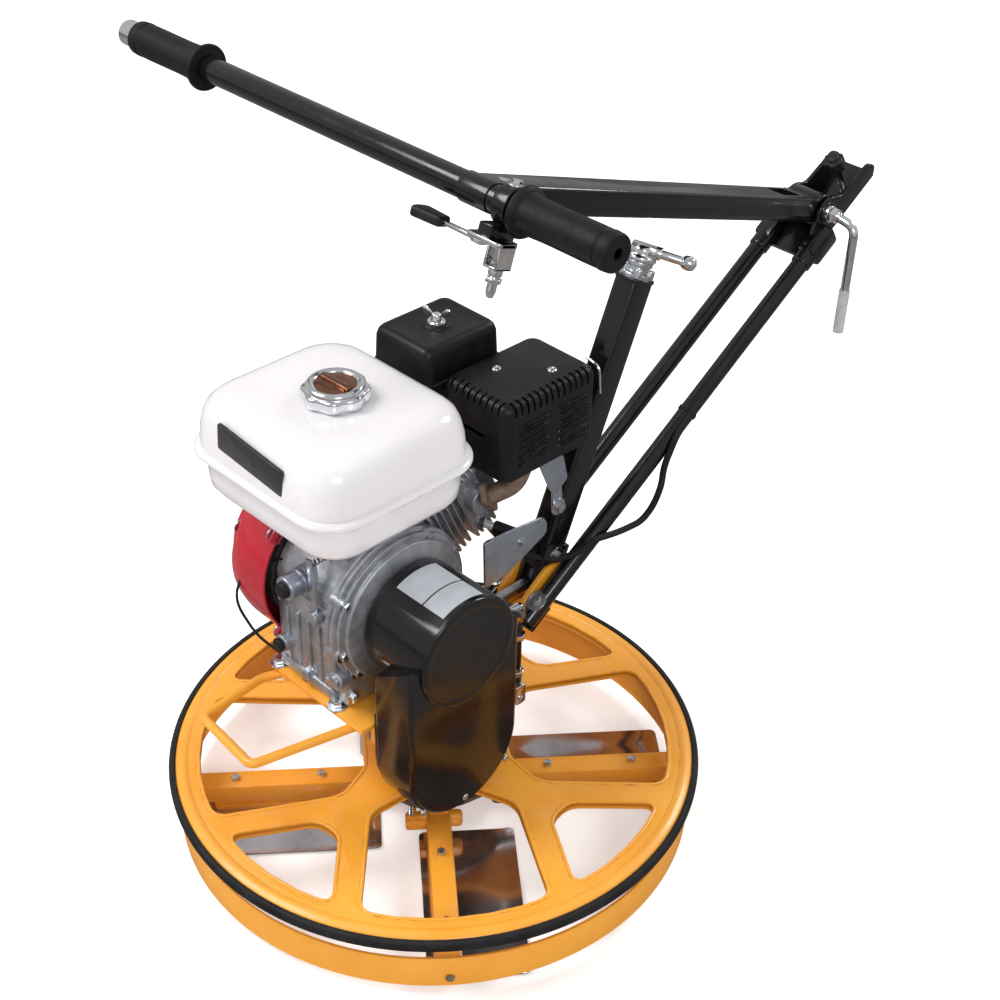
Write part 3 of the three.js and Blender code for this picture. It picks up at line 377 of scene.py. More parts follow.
def bolts_at(positions, direction, across=10.0, height=5.0, washer=True):
    """One bolt head at each position."""
    return [part for position in positions for part in bolt(position, direction, across, height, washer)]


def screw(position, direction, radius=4.0, height=2.4):
    """A domed screw head with a cross recess cut in."""
    dome = turned("z", [(0, -0.5), (radius, -0.5, 0.3), (radius, height * 0.5, 0.8),
                        (radius * 0.45, height, 1.2), (0, height)], steps=24)
    slots = [moved(block((-radius * 0.6, radius * 0.6), (-0.5, 0.5), (height * 0.5, height + 1), 0),
                   turn=(0, 0, turn)) for turn in (20, 110)]
    return [aimed(carved(dome, *slots), position, direction)]


# ---------------------------------------------------------------- pieces


def piece(name, node, *parts, place=None, bevel=0.0, crease=35, slot=None):
    """Joins (shape or shapes, material) pairs into one object, each shape first put in its place.

    The object stands for a CAD node, on its body. Without a node it rides on the frame. The slot argument is
    not used.
    """
    shapes = []
    materials = []
    for drawn, material in parts:
        if material not in materials:
            materials.append(material)
        for shape in drawn if isinstance(drawn, (list, tuple)) else [drawn]:
            for face in shape.faces:
                face.material_index = materials.index(material)
                face.smooth = True
            shapes.append(place(shape) if place else shape)
    whole = joined(shapes)
    bmesh.ops.scale(whole, vec=(MM, MM, MM), verts=whole.verts)
    bmesh.ops.translate(whole, vec=ROTOR, verts=whole.verts)
    mesh = bpy.data.meshes.new(name)
    whole.to_mesh(mesh)
    whole.free()
    for material in materials:
        mesh.materials.append(material)
    mesh.set_sharp_from_angle(angle=math.radians(crease))
    holder = added(name, mesh)
    if bevel:
        add_bevel(holder, bevel)
    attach(holder, frame["nodes"][node]["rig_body"] if node else "frame")
    if node:
        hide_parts(node)
    return holder


def add_bevel(holder, width, segments=2):
    modifier = holder.modifiers.new("rounded edges", "BEVEL")
    modifier.width = width * MM
    modifier.segments = segments
    modifier.limit_method = "ANGLE"
    modifier.angle_limit = math.radians(32)
    modifier.harden_normals = True


def refined(node, material, bevel=0.8):
    """A CAD node's own shape with rounded edges and a new material, for pieces that need no more detail."""
    shape = bmesh.new()
    shape.from_mesh(frame["nodes"][node].data)
    bmesh.ops.remove_doubles(shape, verts=shape.verts, dist=1e-6)
    bmesh.ops.dissolve_limit(shape, angle_limit=math.radians(1), verts=shape.verts, edges=shape.edges)
    bmesh.ops.translate(shape, vec=-ROTOR, verts=shape.verts)
    bmesh.ops.scale(shape, vec=(1 / MM, 1 / MM, 1 / MM), verts=shape.verts)
    return piece(f"{node}_finished", node, (shape, material), bevel=bevel)


# ---------------------------------------------------------------- materials


class Nodes:
    """A short way of writing a material's node tree."""

    def __init__(self, name):
        self.material = bpy.data.materials.new(name)
        self.material.use_nodes = True
        self.tree = self.material.node_tree
        self.shader = self.tree.nodes["Principled BSDF"]
        self.place = self.new("ShaderNodeTexCoord").outputs["Object"]

    def new(self, kind, inputs=None, **settings):
        """A node with its settings made and its inputs fed."""
        node = self.tree.nodes.new(kind)
        for key, value in settings.items():
            setattr(node, key, value)
        for key, value in (inputs or {}).items():
            self.feed(node.inputs[key], value)
        return node

    def feed(self, socket, value):
        """Links a socket to another, or gives it a plain value."""
        if isinstance(value, bpy.types.NodeSocket):
            self.tree.links.new(value, socket)
        elif isinstance(value, (tuple, list)) and len(value) == 3 and socket.type == "RGBA":
            socket.default_value = (*value, 1)
        else:
            socket.default_value = value

    def stretched(self, scale):
        return self.new("ShaderNodeMapping", {"Vector": self.place, "Scale": scale}).outputs["Vector"]

    def noise(self, scale, detail=4.0, roughness=0.6, vector=None, distortion=0.0):
        """Noise whose features are about 1 / scale metres across."""
        inputs = {"Vector": vector or self.place, "Scale": scale, "Detail": detail, "Roughness": roughness,
                  "Distortion": distortion}
        return self.new("ShaderNodeTexNoise", inputs).outputs["Fac"]

    def cells(self, scale):
        return self.new("ShaderNodeTexVoronoi", {"Vector": self.place, "Scale": scale}).outputs["Distance"]

    def ramp(self, value, low, high, out_low=0.0, out_high=1.0):
        """Carries low to high over to out_low to out_high, with the ends held."""
        inputs = {"Value": value, "From Min": low, "From Max": high, "To Min": out_low, "To Max": out_high}
        return self.new("ShaderNodeMapRange", inputs).outputs["Result"]

    def math(self, operation, first, second=0.5):
        return self.new("ShaderNodeMath", {0: first, 1: second}, operation=operation).outputs["Value"]

    def mix(self, factor, first, second):
        """Blends two colours. The mixer's factor and colours are its inputs 0, 6 and 7."""
        return self.new("ShaderNodeMix", {0: factor, 6: first, 7: second}, data_type="RGBA").outputs[2]

    def edges(self, width=0.0012):
        """One at sharp edges and corners, nought on flat and hollow surfaces."""
        rounded = self.new("ShaderNodeBevel", {"Radius": width}, samples=4).outputs["Normal"]
        flat = self.new("ShaderNodeNewGeometry").outputs["Normal"]
        product = self.new("ShaderNodeVectorMath", {0: rounded, 1: flat}, operation="DOT_PRODUCT")
        return self.ramp(product.outputs["Value"], 0.99, 0.86)

    def split(self, vector):
        return self.new("ShaderNodeSeparateXYZ", {"Vector": vector}).outputs

    def upward(self):
        """One on surfaces that face up, where dust settles."""
        return self.ramp(self.split(self.new("ShaderNodeNewGeometry").outputs["Normal"])["Z"], 0.4, 1.0)

    def bump(self, height, strength, distance=0.0005):
        node = self.new("ShaderNodeBump", {"Strength": strength, "Distance": distance, "Height": height})
        self.feed(self.shader.inputs["Normal"], node.outputs["Normal"])

    def done(self, color, roughness, metallic=0.0, coat=0.0, specular=0.5):
        self.feed(self.shader.inputs["Base Color"], color)
        self.feed(self.shader.inputs["Roughness"], roughness)
        self.feed(self.shader.inputs["Metallic"], metallic)
        self.shader.inputs["Coat Weight"].default_value = coat
        self.shader.inputs["Coat Roughness"].default_value = 0.08
        self.shader.inputs["Specular IOR Level"].default_value = specular
        return self.material


def enamel(name, color, deep, roughness, coat, wear=0.5, under=(0.16, 0.13, 0.11), dust=0.25):
    """Sprayed paint: orange peel, uneven coats, chipped edges, scuffs and a little dust on top."""
    n = Nodes(name)
    tone = n.mix(n.ramp(n.noise(9, 5), 0.3, 0.75), color, deep)
    scuffs = n.ramp(n.noise(55, 8, 0.7, n.stretched((1, 1, 2.2))), 0.62, 0.7)
    tone = n.mix(n.math("MULTIPLY", scuffs, 0.35), tone, deep)
    chips = n.math("MULTIPLY", n.edges(), n.ramp(n.noise(70, 7, 0.7), 0.62 - 0.16 * wear, 0.66 - 0.12 * wear))
    tone = n.mix(n.math("MULTIPLY", chips, 0.85), tone, under)
    dusty = n.math("MULTIPLY", n.upward(), n.ramp(n.noise(24, 6, 0.65), 0.45, 0.8, 0, dust))
    tone = n.mix(dusty, tone, (0.55, 0.52, 0.48))
    rough = n.math("ADD", n.ramp(n.noise(40, 4), 0.3, 0.7, roughness - 0.06, roughness + 0.1),
                   n.math("MULTIPLY", n.math("ADD", chips, dusty), 0.3))
    n.bump(n.math("SUBTRACT", n.noise(420, 2), n.math("MULTIPLY", chips, 1.5)), 0.14, 0.0003)
    return n.done(tone, rough, coat=coat)


def orange_paint():
    return enamel("orange enamel", (0.95, 0.43, 0.042), (0.86, 0.33, 0.02), 0.34, 0.2, 0.6, dust=0.06)


def gloss_black():
    return enamel("gloss black enamel", (0.003, 0.003, 0.004), (0.006, 0.006, 0.007), 0.15, 0.12, 0.25,
                  under=(0.05, 0.05, 0.055), dust=0.02)


def satin_black():
    n = Nodes("satin black heat paint")
    tone = n.mix(n.ramp(n.noise(30, 6), 0.35, 0.75), (0.004, 0.004, 0.005), (0.011, 0.011, 0.012))
    worn = n.math("MULTIPLY", n.edges(0.0009), n.ramp(n.noise(90, 6), 0.45, 0.6))
    tone = n.mix(n.math("MULTIPLY", worn, 0.5), tone, (0.16, 0.16, 0.17))
    n.bump(n.noise(900, 3), 0.2, 0.0002)
    return n.done(tone, n.ramp(n.noise(60), 0.3, 0.7, 0.34, 0.46), specular=0.28)


def moulded_plastic(name="black moulded plastic", color=(0.006, 0.006, 0.0075)):
    n = Nodes(name)
    light = tuple(1.6 * c for c in color)
    tone = n.mix(n.ramp(n.noise(25, 5), 0.35, 0.75), color, light)
    n.bump(n.math("ADD", n.noise(1500, 2), n.cells(1100)), 0.22, 0.0002)
    return n.done(tone, n.ramp(n.noise(50), 0.3, 0.7, 0.42, 0.56), specular=0.35)


def rubber():
    n = Nodes("black rubber")
    tone = n.mix(n.ramp(n.noise(35, 6), 0.4, 0.75), (0.006, 0.006, 0.007), (0.02, 0.019, 0.019))
    n.bump(n.math("ADD", n.noise(1200, 4), n.noise(120, 4)), 0.3, 0.0003)
    return n.done(tone, n.ramp(n.noise(70, 5), 0.3, 0.7, 0.55, 0.78), specular=0.35)


def grip_rubber():
    """Soft rubber with fine ribs round the grip."""
    n = Nodes("grip rubber")
    tone = n.mix(n.ramp(n.noise(40, 6), 0.4, 0.75), (0.004, 0.0045, 0.006), (0.010, 0.0105, 0.014))
    along = n.math("SINE", n.math("MULTIPLY", n.split(n.place)["X"], 2 * math.pi / 0.0032), 0)
    n.bump(n.math("ADD", n.math("MULTIPLY", along, 0.4), n.noise(1300, 3)), 0.45, 0.0004)
    return n.done(tone, n.ramp(n.noise(80, 5), 0.3, 0.7, 0.45, 0.62), specular=0.25)


def cast_alloy(name="sand-cast aluminium", light=(0.60, 0.62, 0.67), dark=(0.30, 0.315, 0.35)):
    n = Nodes(name)
    tone = n.mix(n.ramp(n.noise(38, 7, 0.65), 0.32, 0.72), light, dark)
    grime = n.ramp(n.noise(14, 7, 0.7), 0.52, 0.8)
    tone = n.mix(n.math("MULTIPLY", grime, 0.6), tone, (0.09, 0.085, 0.085))
    tone = n.mix(n.math("MULTIPLY", n.edges(), 0.6), tone, (0.80, 0.83, 0.90))
    n.bump(n.math("ADD", n.noise(520, 6, 0.7), n.math("MULTIPLY", n.cells(700), 0.5)), 0.42, 0.0004)
    return n.done(tone, n.ramp(n.noise(120, 5), 0.3, 0.7, 0.34, 0.6), metallic=0.85)


def bare_steel(name="bare steel", color=(0.45, 0.45, 0.47), rust=0.25, roughness=0.3, grain=(1, 1, 40)):
    """Machined steel: a drawn grain, darker patches and a little rust in them."""
    n = Nodes(name)
    fine = n.noise(60, 5, 0.6, n.stretched(grain))
    dull = tuple(0.6 * c for c in color)
    tone = n.mix(n.ramp(fine, 0.3, 0.7), color, dull)
    spots = n.ramp(n.noise(45, 8, 0.72), 0.66 - 0.16 * rust, 0.76 - 0.1 * rust)
    tone = n.mix(n.math("MULTIPLY", spots, 0.75), tone, (0.16, 0.065, 0.028))
    rough = n.math("ADD", n.ramp(fine, 0.3, 0.7, roughness - 0.08, roughness + 0.1),
                   n.math("MULTIPLY", spots, 0.3))
    n.bump(n.math("ADD", fine, n.math("MULTIPLY", spots, 0.6)), 0.12, 0.0002)
    return n.done(tone, rough, metallic=n.ramp(spots, 0, 1, 1.0, 0.3))


def blade_steel():
    """Spring steel worn bright by concrete, with arcs of scratches, dark film and rust at the edges."""
    n = Nodes("worn blade steel")
    swirl = n.noise(26, 9, 0.75, n.stretched((1, 14, 1)), 1.2)
    tone = n.mix(n.ramp(n.noise(7, 6), 0.35, 0.7), (0.80, 0.76, 0.79), (0.38, 0.34, 0.35))
    tone = n.mix(n.ramp(swirl, 0.52, 0.72, 0, 0.5), tone, (0.85, 0.82, 0.85))
    rust = n.ramp(n.noise(30, 8, 0.7), 0.6, 0.74)
    tone = n.mix(n.math("MULTIPLY", rust, 0.5), tone, (0.14, 0.055, 0.022))
    n.bump(swirl, 0.1, 0.0002)
    return n.done(tone, n.ramp(n.noise(18, 6), 0.3, 0.7, 0.06, 0.2), metallic=0.95)


def chrome(name="chromed steel", color=(0.80, 0.81, 0.84), roughness=0.07):
    n = Nodes(name)
    tone = n.mix(n.ramp(n.noise(40, 6), 0.5, 0.8), color, tuple(0.72 * c for c in color))
    n.bump(n.noise(240, 3), 0.05, 0.0002)
    return n.done(tone, n.ramp(n.noise(55, 6), 0.35, 0.75, roughness, roughness + 0.14), metallic=1.0)


def zinc_bolt():
    return chrome("zinc-plated steel", (0.62, 0.64, 0.68), 0.22)


def white_enamel():
    n = Nodes("white enamel")
    tone = n.mix(n.ramp(n.noise(6, 5), 0.35, 0.75), (0.80, 0.775, 0.795), (0.75, 0.72, 0.745))
    smears = n.ramp(n.noise(20, 7, 0.7), 0.6, 0.85, 0, 0.22)
    tone = n.mix(smears, tone, (0.60, 0.56, 0.57))
    n.bump(n.noise(260, 2), 0.05, 0.0003)
    return n.done(tone, n.ramp(n.noise(30, 5), 0.3, 0.7, 0.16, 0.28), coat=0.4)


def red_enamel():
    return enamel("red enamel", (0.50, 0.010, 0.028), (0.36, 0.005, 0.016), 0.25, 0.3, 0.25, dust=0.04)


def cast_iron():
    n = Nodes("cast iron")
    tone = n.mix(n.ramp(n.noise(50, 7), 0.35, 0.7), (0.10, 0.10, 0.105), (0.05, 0.045, 0.042))
    tone = n.mix(n.ramp(n.noise(24, 7), 0.58, 0.75, 0, 0.6), tone, (0.14, 0.06, 0.03))
    n.bump(n.noise(600, 6), 0.4, 0.0004)
    return n.done(tone, n.ramp(n.noise(90), 0.3, 0.7, 0.5, 0.72), metallic=0.6)


def bronze():
    return bare_steel("gear bronze", (0.58, 0.38, 0.16), 0.0, 0.3, (1, 1, 6))


def scaled_pipe():
    """Exhaust steel with heat scale and rust."""
    n = Nodes("heat-scaled steel")
    tone = n.mix(n.ramp(n.noise(60, 8, 0.7), 0.35, 0.65), (0.17, 0.09, 0.055), (0.30, 0.24, 0.20))
    n.bump(n.noise(420, 7), 0.5, 0.0005)
    return n.done(tone, n.ramp(n.noise(80, 6), 0.3, 0.7, 0.5, 0.75), metallic=0.5)


def blued_plate():
    """Bare sheet steel with a cool blue cast and smudges."""
    n = Nodes("bare plated sheet")
    tone = n.mix(n.ramp(n.noise(16, 6), 0.3, 0.7), (0.50, 0.56, 0.66), (0.34, 0.38, 0.46))
    tone = n.mix(n.ramp(n.noise(42, 8), 0.6, 0.75, 0, 0.5), tone, (0.18, 0.13, 0.10))
    n.bump(n.noise(300, 5), 0.15, 0.0003)
    return n.done(tone, n.ramp(n.noise(50, 6), 0.3, 0.7, 0.2, 0.4), metallic=0.9)


def plain_plate(name, color, roughness=0.35):
    """The blank plates that stand where the machine carries its labels."""
    n = Nodes(name)
    tone = n.mix(n.ramp(n.noise(60, 6), 0.4, 0.75), color, tuple(0.82 * c for c in color))
    n.bump(n.noise(500, 3), 0.08, 0.0002)
    return n.done(tone, n.ramp(n.noise(80, 4), 0.3, 0.7, roughness - 0.05, roughness + 0.08), coat=0.2)


def clear_sleeve():
    n = Nodes("clear vinyl sleeve")
    tone = n.mix(n.ramp(n.noise(60, 5), 0.4, 0.7), (0.52, 0.53, 0.55), (0.40, 0.40, 0.42))
    n.bump(n.noise(300, 4), 0.1, 0.0003)
    return n.done(tone, n.ramp(n.noise(90, 4), 0.3, 0.7, 0.18, 0.32), coat=0.5)


ORANGE = orange_paint()
BLACK = gloss_black()
SATIN = satin_black()
PLASTIC = moulded_plastic()
RUBBER = rubber()
GRIP = grip_rubber()
ALLOY = cast_alloy()
# Darker cast aluminium for the cylinder barrel, which shows only in the gaps between the fins, and for the
# rocker cover.
DARK_ALLOY = cast_alloy("dark cast aluminium", (0.25, 0.26, 0.285), (0.10, 0.105, 0.115))
STEEL = bare_steel()
BLADE = blade_steel()
CHROME = chrome()
ZINC = zinc_bolt()
WHITE = white_enamel()
RED = red_enamel()
IRON = cast_iron()
BRONZE = bronze()
SCALED = scaled_pipe()
BARE_PLATE = blued_plate()
PALE_PLATE = plain_plate("blank pale plate", (0.62, 0.65, 0.70))
DARK_PLATE = plain_plate("blank dark plate", (0.02, 0.02, 0.022))
CLEAR = clear_sleeve()
TINTED = chrome("tinted chrome", (0.30, 0.15, 0.09), 0.12)


# ---------------------------------------------------------------- ground end

ROTOR_PHASE = -39.5
WHEEL_PHASE = 7.5
ARM_Z = 26.0
QUARTERS = range(4)
WINDOW_R = 271.0


def polar(points):
    """Points given as (radius, angle in degrees), each with its corner radius after it if it has one."""
    return [(r * math.cos(math.radians(a)), r * math.sin(math.radians(a)), *own) for r, a, *own in points]


def offset(outline, by):
    """An outline moved outwards by a distance, seen counter-clockwise."""
    result = []
    for before, here, after in zip(outline[-1:] + outline[:-1], outline, outline[1:] + outline[:1]):
        along = (Vector(after) - Vector(before)).normalized()
        result.append((here[0] + along.y * by, here[1] - along.x * by))
    return result


def large_window():
    outer = [(WINDOW_R, a) for a in (-14, -7, 0, 7, 14)]
    return fillet(polar([(92, -24, 10), (138, -36, 16), (WINDOW_R, -21.5, 16)] + outer
                        + [(WINDOW_R, 21.5, 16), (138, 36, 16), (92, 24, 10)]), steps=6)


def small_window():
    return fillet(polar([(184, -5, 13), (WINDOW_R, -16.5, 17), (WINDOW_R, -8), (WINDOW_R, 0), (WINDOW_R, 8),
                         (WINDOW_R, 16.5, 17), (184, 5, 13)]), steps=6)


def turned_outline(outline, degrees):
    c, s = math.cos(math.radians(degrees)), math.sin(math.radians(degrees))
    return [(x * c - y * s, x * s + y * c) for x, y in outline]


def guard_wheel():
    windows = []
    for quarter in QUARTERS:
        windows.append(turned_outline(large_window(), WHEEL_PHASE + 45 + 90 * quarter))
        windows.append(turned_outline(small_window(), WHEEL_PHASE + 90 * quarter))
    disc = sheet([arc(294, 0, 360, 180)[:-1]] + windows + [arc(44, 0, 360, 60)[:-1]], 80, 87.5, 1.5)
    lips = [sheet([offset(window, 4.5), window], 76.5, 88.6, 1.8) for window in windows]
    rim = turned("z", [(283, 80), (283, 87, 3), (290, 90, 4), (299.6, 86, 3), (299.6, 74, 1), (296, 74, 1),
                       (296, 80, 1)], steps=180)
    hub = turned("z", fillet([(42.4, 77), (58, 79), (60, 88), (54, 91.5), (42.4, 91.5)], 2), steps=72)
    piece("guard_wheel_pressing", "guard_wheel", ([disc, rim, hub] + lips, ORANGE))


def guard_band():
    profile = fillet([(299.8, 73.8, 0.5), (305, 73.8, 2.5), (307, 78, 2.5), (307, 83, 2.5), (305, 87.2, 2.5),
                      (299.8, 87.2, 0.5)])
    piece("guard_band_strip", "guard_band", (turned("z", profile, steps=180), RUBBER))


def stabiliser_hoop():
    profile = fillet([(294.4, 13, 1), (298, 13, 1.4), (298, 55, 1.4), (294.4, 55, 1), (294.4, 52, 0.8),
                      (295.6, 51, 0.8), (295.6, 17, 0.8), (294.4, 16, 0.8)])
    hoop = turned("z", profile, steps=180)
    screws = []
    for quarter in QUARTERS:
        turn = ROTOR_PHASE + 90 * quarter
        outwards = Vector((math.cos(math.radians(turn)), math.sin(math.radians(turn)), 0))
        screws += bolt(outwards * 298 + Vector((0, 0, ARM_Z)), outwards, 9, 2.5, False)
    piece("stabiliser_hoop_band", "stabiliser_hoop", (hoop, ORANGE), (screws, SCALED))


def trowel_arm(number):
    turn = ROTOR_PHASE + 90 * (number - 1)
    low, high = ARM_Z - 12, ARM_Z + 12
    bar = block((64, 288), (-14, 14), (low, high), 3)
    shank = drum("x", 9, 34, 70, (0, ARM_Z), 1)
    end_pin = drum("x", 5.9, 282, 294.3, (0, ARM_Z), 0.8)
    boss = drum("x", 16.5, 60, 72, (0, ARM_Z), 2)
    finger = block((63, 79), (-38, 0), (ARM_Z - 7, ARM_Z + 8), 2.5)
    post = drum("z", 4.6, ARM_Z, 56, (71, -30), 1.6)
    collar = block((62, 76), (-26, 28), (ARM_Z - 9, ARM_Z + 11), 5, 3)
    nut = bolt((71, -30, ARM_Z + 8), UP, 12, 5, False)
    heads = bolt((134, 0, high), UP, 9, 5, False) + bolt((234, 0, high), UP, 9, 5, False)
    piece(f"trowel_arm_{number}_bar", f"trowel_arm_{number}",
          ([bar, boss, finger, end_pin, collar] + nut, ORANGE), ([shank, post] + heads, ZINC),
          place=lambda shape: moved(shape, turn=(0, 0, turn)))


def blade(number):
    """The blade's long side turns up slightly, as it does after use."""
    turn = ROTOR_PHASE + 90 * (number - 1)
    plate = prism(rectangle((66, 279), (-23, 88), 7, 5), 0, 3, edge=0.6, segments=1)
    start, end, rise = 66.0, 88.0, 2.2
    for cut in (66, 70, 74, 78, 82, 85):
        bmesh.ops.bisect_plane(plate, geom=plate.verts[:] + plate.edges[:] + plate.faces[:],
                               plane_co=(0, cut, 0), plane_no=(0, 1, 0))
    for vertex in plate.verts:
        if vertex.co.y > start:
            vertex.co.z += rise * ((vertex.co.y - start) / (end - start)) ** 2
    mounting = block((110, 260), (-12, 12), (2.6, ARM_Z - 12.2), 2)
    ribs = [block((112, 258), (side * 13 - 1.5, side * 13 + 1.5), (2.6, 10), 1) for side in (-1, 1)]
    piece(f"blade_{number}_plate", f"blade_{number}", (plate, BLADE), ([mounting] + ribs, ORANGE),
          place=lambda shape: moved(shape, turn=(0, 0, turn)))


def ground_end():
    guard_wheel()
    guard_band()
    stabiliser_hoop()
    for number in range(1, 5):
        trowel_arm(number)
        blade(number)


# ---------------------------------------------------------------- frame and gearbox

PLATE_TOP = 209.0
FOOT_TOP = 221.3
CRANK_Y, CRANK_Z = CRANK = tuple(round(value, 2) for value in axis_of("crank_spin").yz)
WORM = tuple(round(value, 2) for value in axis_of("worm_spin").yz)


def engine_plate():
    deck = block((-122, 36), (-138, 62), (203, PLATE_TOP), 1.2)
    tongue = carved(block((-21, 21), (55, 168), (203, PLATE_TOP), 1.2),
                    block((-12, 12), (133, 161), (200, PLATE_TOP + 3), 0))
    outline = fillet([(118, 205, 1), (168, 205, 3), (192, 262, 8), (160, 268, 10), (118, 236, 8)])
    gussets = [prism(outline, low, low + 5.8, "x", 0.8) for low in (15.4, -21.2)]
    bolts = bolt((21.2, 136, 231.5), RIGHT, 14, 6) + bolt((-21.2, 136, 231.5), LEFT, 14, 6)
    bolts += bolts_at([(-100, 24, FOOT_TOP), (-28, 24, FOOT_TOP), (-114, -130, PLATE_TOP),
                       (-14, -130, PLATE_TOP)], UP, 12, 7)
    piece("engine_plate_welded", "engine_plate", ([deck, tongue] + gussets, ORANGE), (bolts, ZINC))


def guard_bar():
    z = 197.4
    path = [(26, -84, z), (-15, -248, z), (-110, -240, z), (-118, -154, z), (-106, -126, z)]
    bar = rod(path, 5.3, 9)
    tab = prism(rectangle((-117, -95), (-136, -110), 5), z - 2.7, z + 2.7, edge=0.8)
    piece("guard_bar_bent", "guard_bar", ([bar, tab], ORANGE),
          (bolt((-106, -122, z + 2.7), UP, 12, 2.4), ZINC))


def gearbox_details():
    """The worm shaft's end covers with their screws, and the oil plug."""
    flange = drum("x", 24, 41, 46, WORM, 1.5)
    end_cap = drum("x", 24, -52, -45, WORM, 2)
    plug = bolt((-46, CRANK_Y + 34, 160), LEFT, 16, 8)
    screws = bolts_at([(-52, y, z) for y, z in arc(19, 45, 315, 3, WORM)], LEFT, 7, 3, False)
    piece("gearbox_fittings", None, ([flange, end_cap], ORANGE), (plug + screws, ZINC), slot="orange_paint")


# ---------------------------------------------------------------- belt drive

COVER_R, COVER_BACK, COVER_FRONT = 78.0, 46.3, 106.0
DRUM_R, DRUM_BACK, DRUM_FRONT = 65.0, 19.0, 112.0


def curved_plate(x, start, end, radius, thickness=0.5, steps=20):
    """A thin plate lying on a drum round the crankshaft's axis, from one angle to another."""
    outer = arc(radius + thickness, start, end, steps, CRANK)
    inner = arc(radius - 0.3, end, start, steps, CRANK)
    return prism(outer + inner, x[0], x[1], "x")


def belt_cover():
    shoulder = 322.0
    outline = arc(COVER_R, 180, 360, 48, WORM)
    outline += [(CRANK_Y + COVER_R, shoulder), (CRANK_Y - COVER_R, shoulder)]
    lower = prism(outline, COVER_BACK, COVER_FRONT, "x", 6, 4)
    wedge = block((-200, 0), (-200, 200), (0, 200), 0)
    lower = carved(lower, moved(wedge, (100, CRANK_Y, shoulder), (0, -33, 0)))
    drum_profile = fillet([(0, DRUM_BACK), (DRUM_R, DRUM_BACK, 3), (DRUM_R, DRUM_FRONT, 7),
                           (DRUM_R - 9, DRUM_FRONT, 1), (DRUM_R - 10, DRUM_FRONT - 0.7, 1),
                           (0, DRUM_FRONT - 0.7)], steps=6)
    upper = turned("x", drum_profile, CRANK, 96)
    screws = [part for y, z in ((CRANK_Y + 62, 122), (CRANK_Y - 62, 122), (CRANK_Y, 104))
              for part in screw((COVER_FRONT - 0.5, y, z), RIGHT, 4.2)]
    plates = [curved_plate(along, 68, 118, DRUM_R) for along in ((33, 72), (74, 104))]
    piece("belt_cover_shell", "belt_cover", ([lower, upper], BLACK), (screws, ZINC), (plates, PALE_PLATE),
          bevel=1.2)


# ---------------------------------------------------------------- engine

CYLINDER_X = -62.0
CYLINDER_LEAN = 25.0


def on_cylinder(shape):
    """Turns a shape drawn along +Y, from the crank axis, onto the leaning cylinder."""
    return moved(shape, (CYLINDER_X, *CRANK), (CYLINDER_LEAN, 0, 0))


def loft(sections):
    """Skins a stack of outlines, each given as (outline, height), all with the same number of points."""
    count = len(sections[0][0])
    vertices = [(x, y, z) for outline, z in sections for x, y in outline]
    faces = [tuple(range(count)), tuple(range((len(sections) - 1) * count, len(sections) * count))]
    for level in range(len(sections) - 1):
        for i in range(count):
            j = (i + 1) % count
            low, high = level * count, (level + 1) * count
            faces.append((low + i, low + j, high + j, high + i))
    return settle(mesh_of(vertices, faces))


def rounded_box(x, y, levels, steps=8):
    """A box of changing size: each level is (height, inset, corner radius)."""
    return loft([(rectangle((x[0] + inset, x[1] - inset), (y[0] + inset, y[1] - inset), radius, steps), z)
                 for z, inset, radius in levels])


def crankcase_details():
    """Ribs, bosses, bolts, oil plugs and the governor lever on the crankcase."""
    ribs = [block((x - 2, x + 2), (-129.5, -118), (215, 300), 1.2) for x in (-96, -78, -60, -42)]
    front = block((-110, -18), (-131, -124), (212, 226), 2.5)
    shelf = block((-112, -17), (-129, -100), (322, 330), 3)
    filler = drum("y", 10, -138, -124, (-98, 250), 2)
    filler_cap = prism(arc(8.5, 0, 360, 8)[:-1], 0, 6, edge=1.6)
    heads = ((-104, 238), (-24, 238), (-104, 312), (-24, 312), (-24, 276))
    bolts = bolts_at([(x, -127, z) for x, z in heads], FRONT, 10, 6)
    drain = bolt((-62, -127, 224), FRONT, 14, 8)
    lever = swept(rounded_path([(-40, -132, 318), (-40, -134, 352), (-50, -130, 388)], 10),
                  rectangle((-5, 5), (-1.2, 1.2), 1, 2))
    governor = drum("y", 8, -138, -126, (-40, 318), 1.5)
    spring = rod([(-50 + 3 * math.cos(0.9 * i), -128 + 0.7 * i, 380 + 3 * math.sin(0.9 * i))
                  for i in range(64)], 0.7, sides=6)
    piece("crankcase_details", None, (ribs + [front, shelf, filler, governor], ALLOY),
          ([aimed(filler_cap, (-98, -138, 250), FRONT), spring], PLASTIC),
          (bolts + drain + [lever], ZINC), slot="cast_alloy")


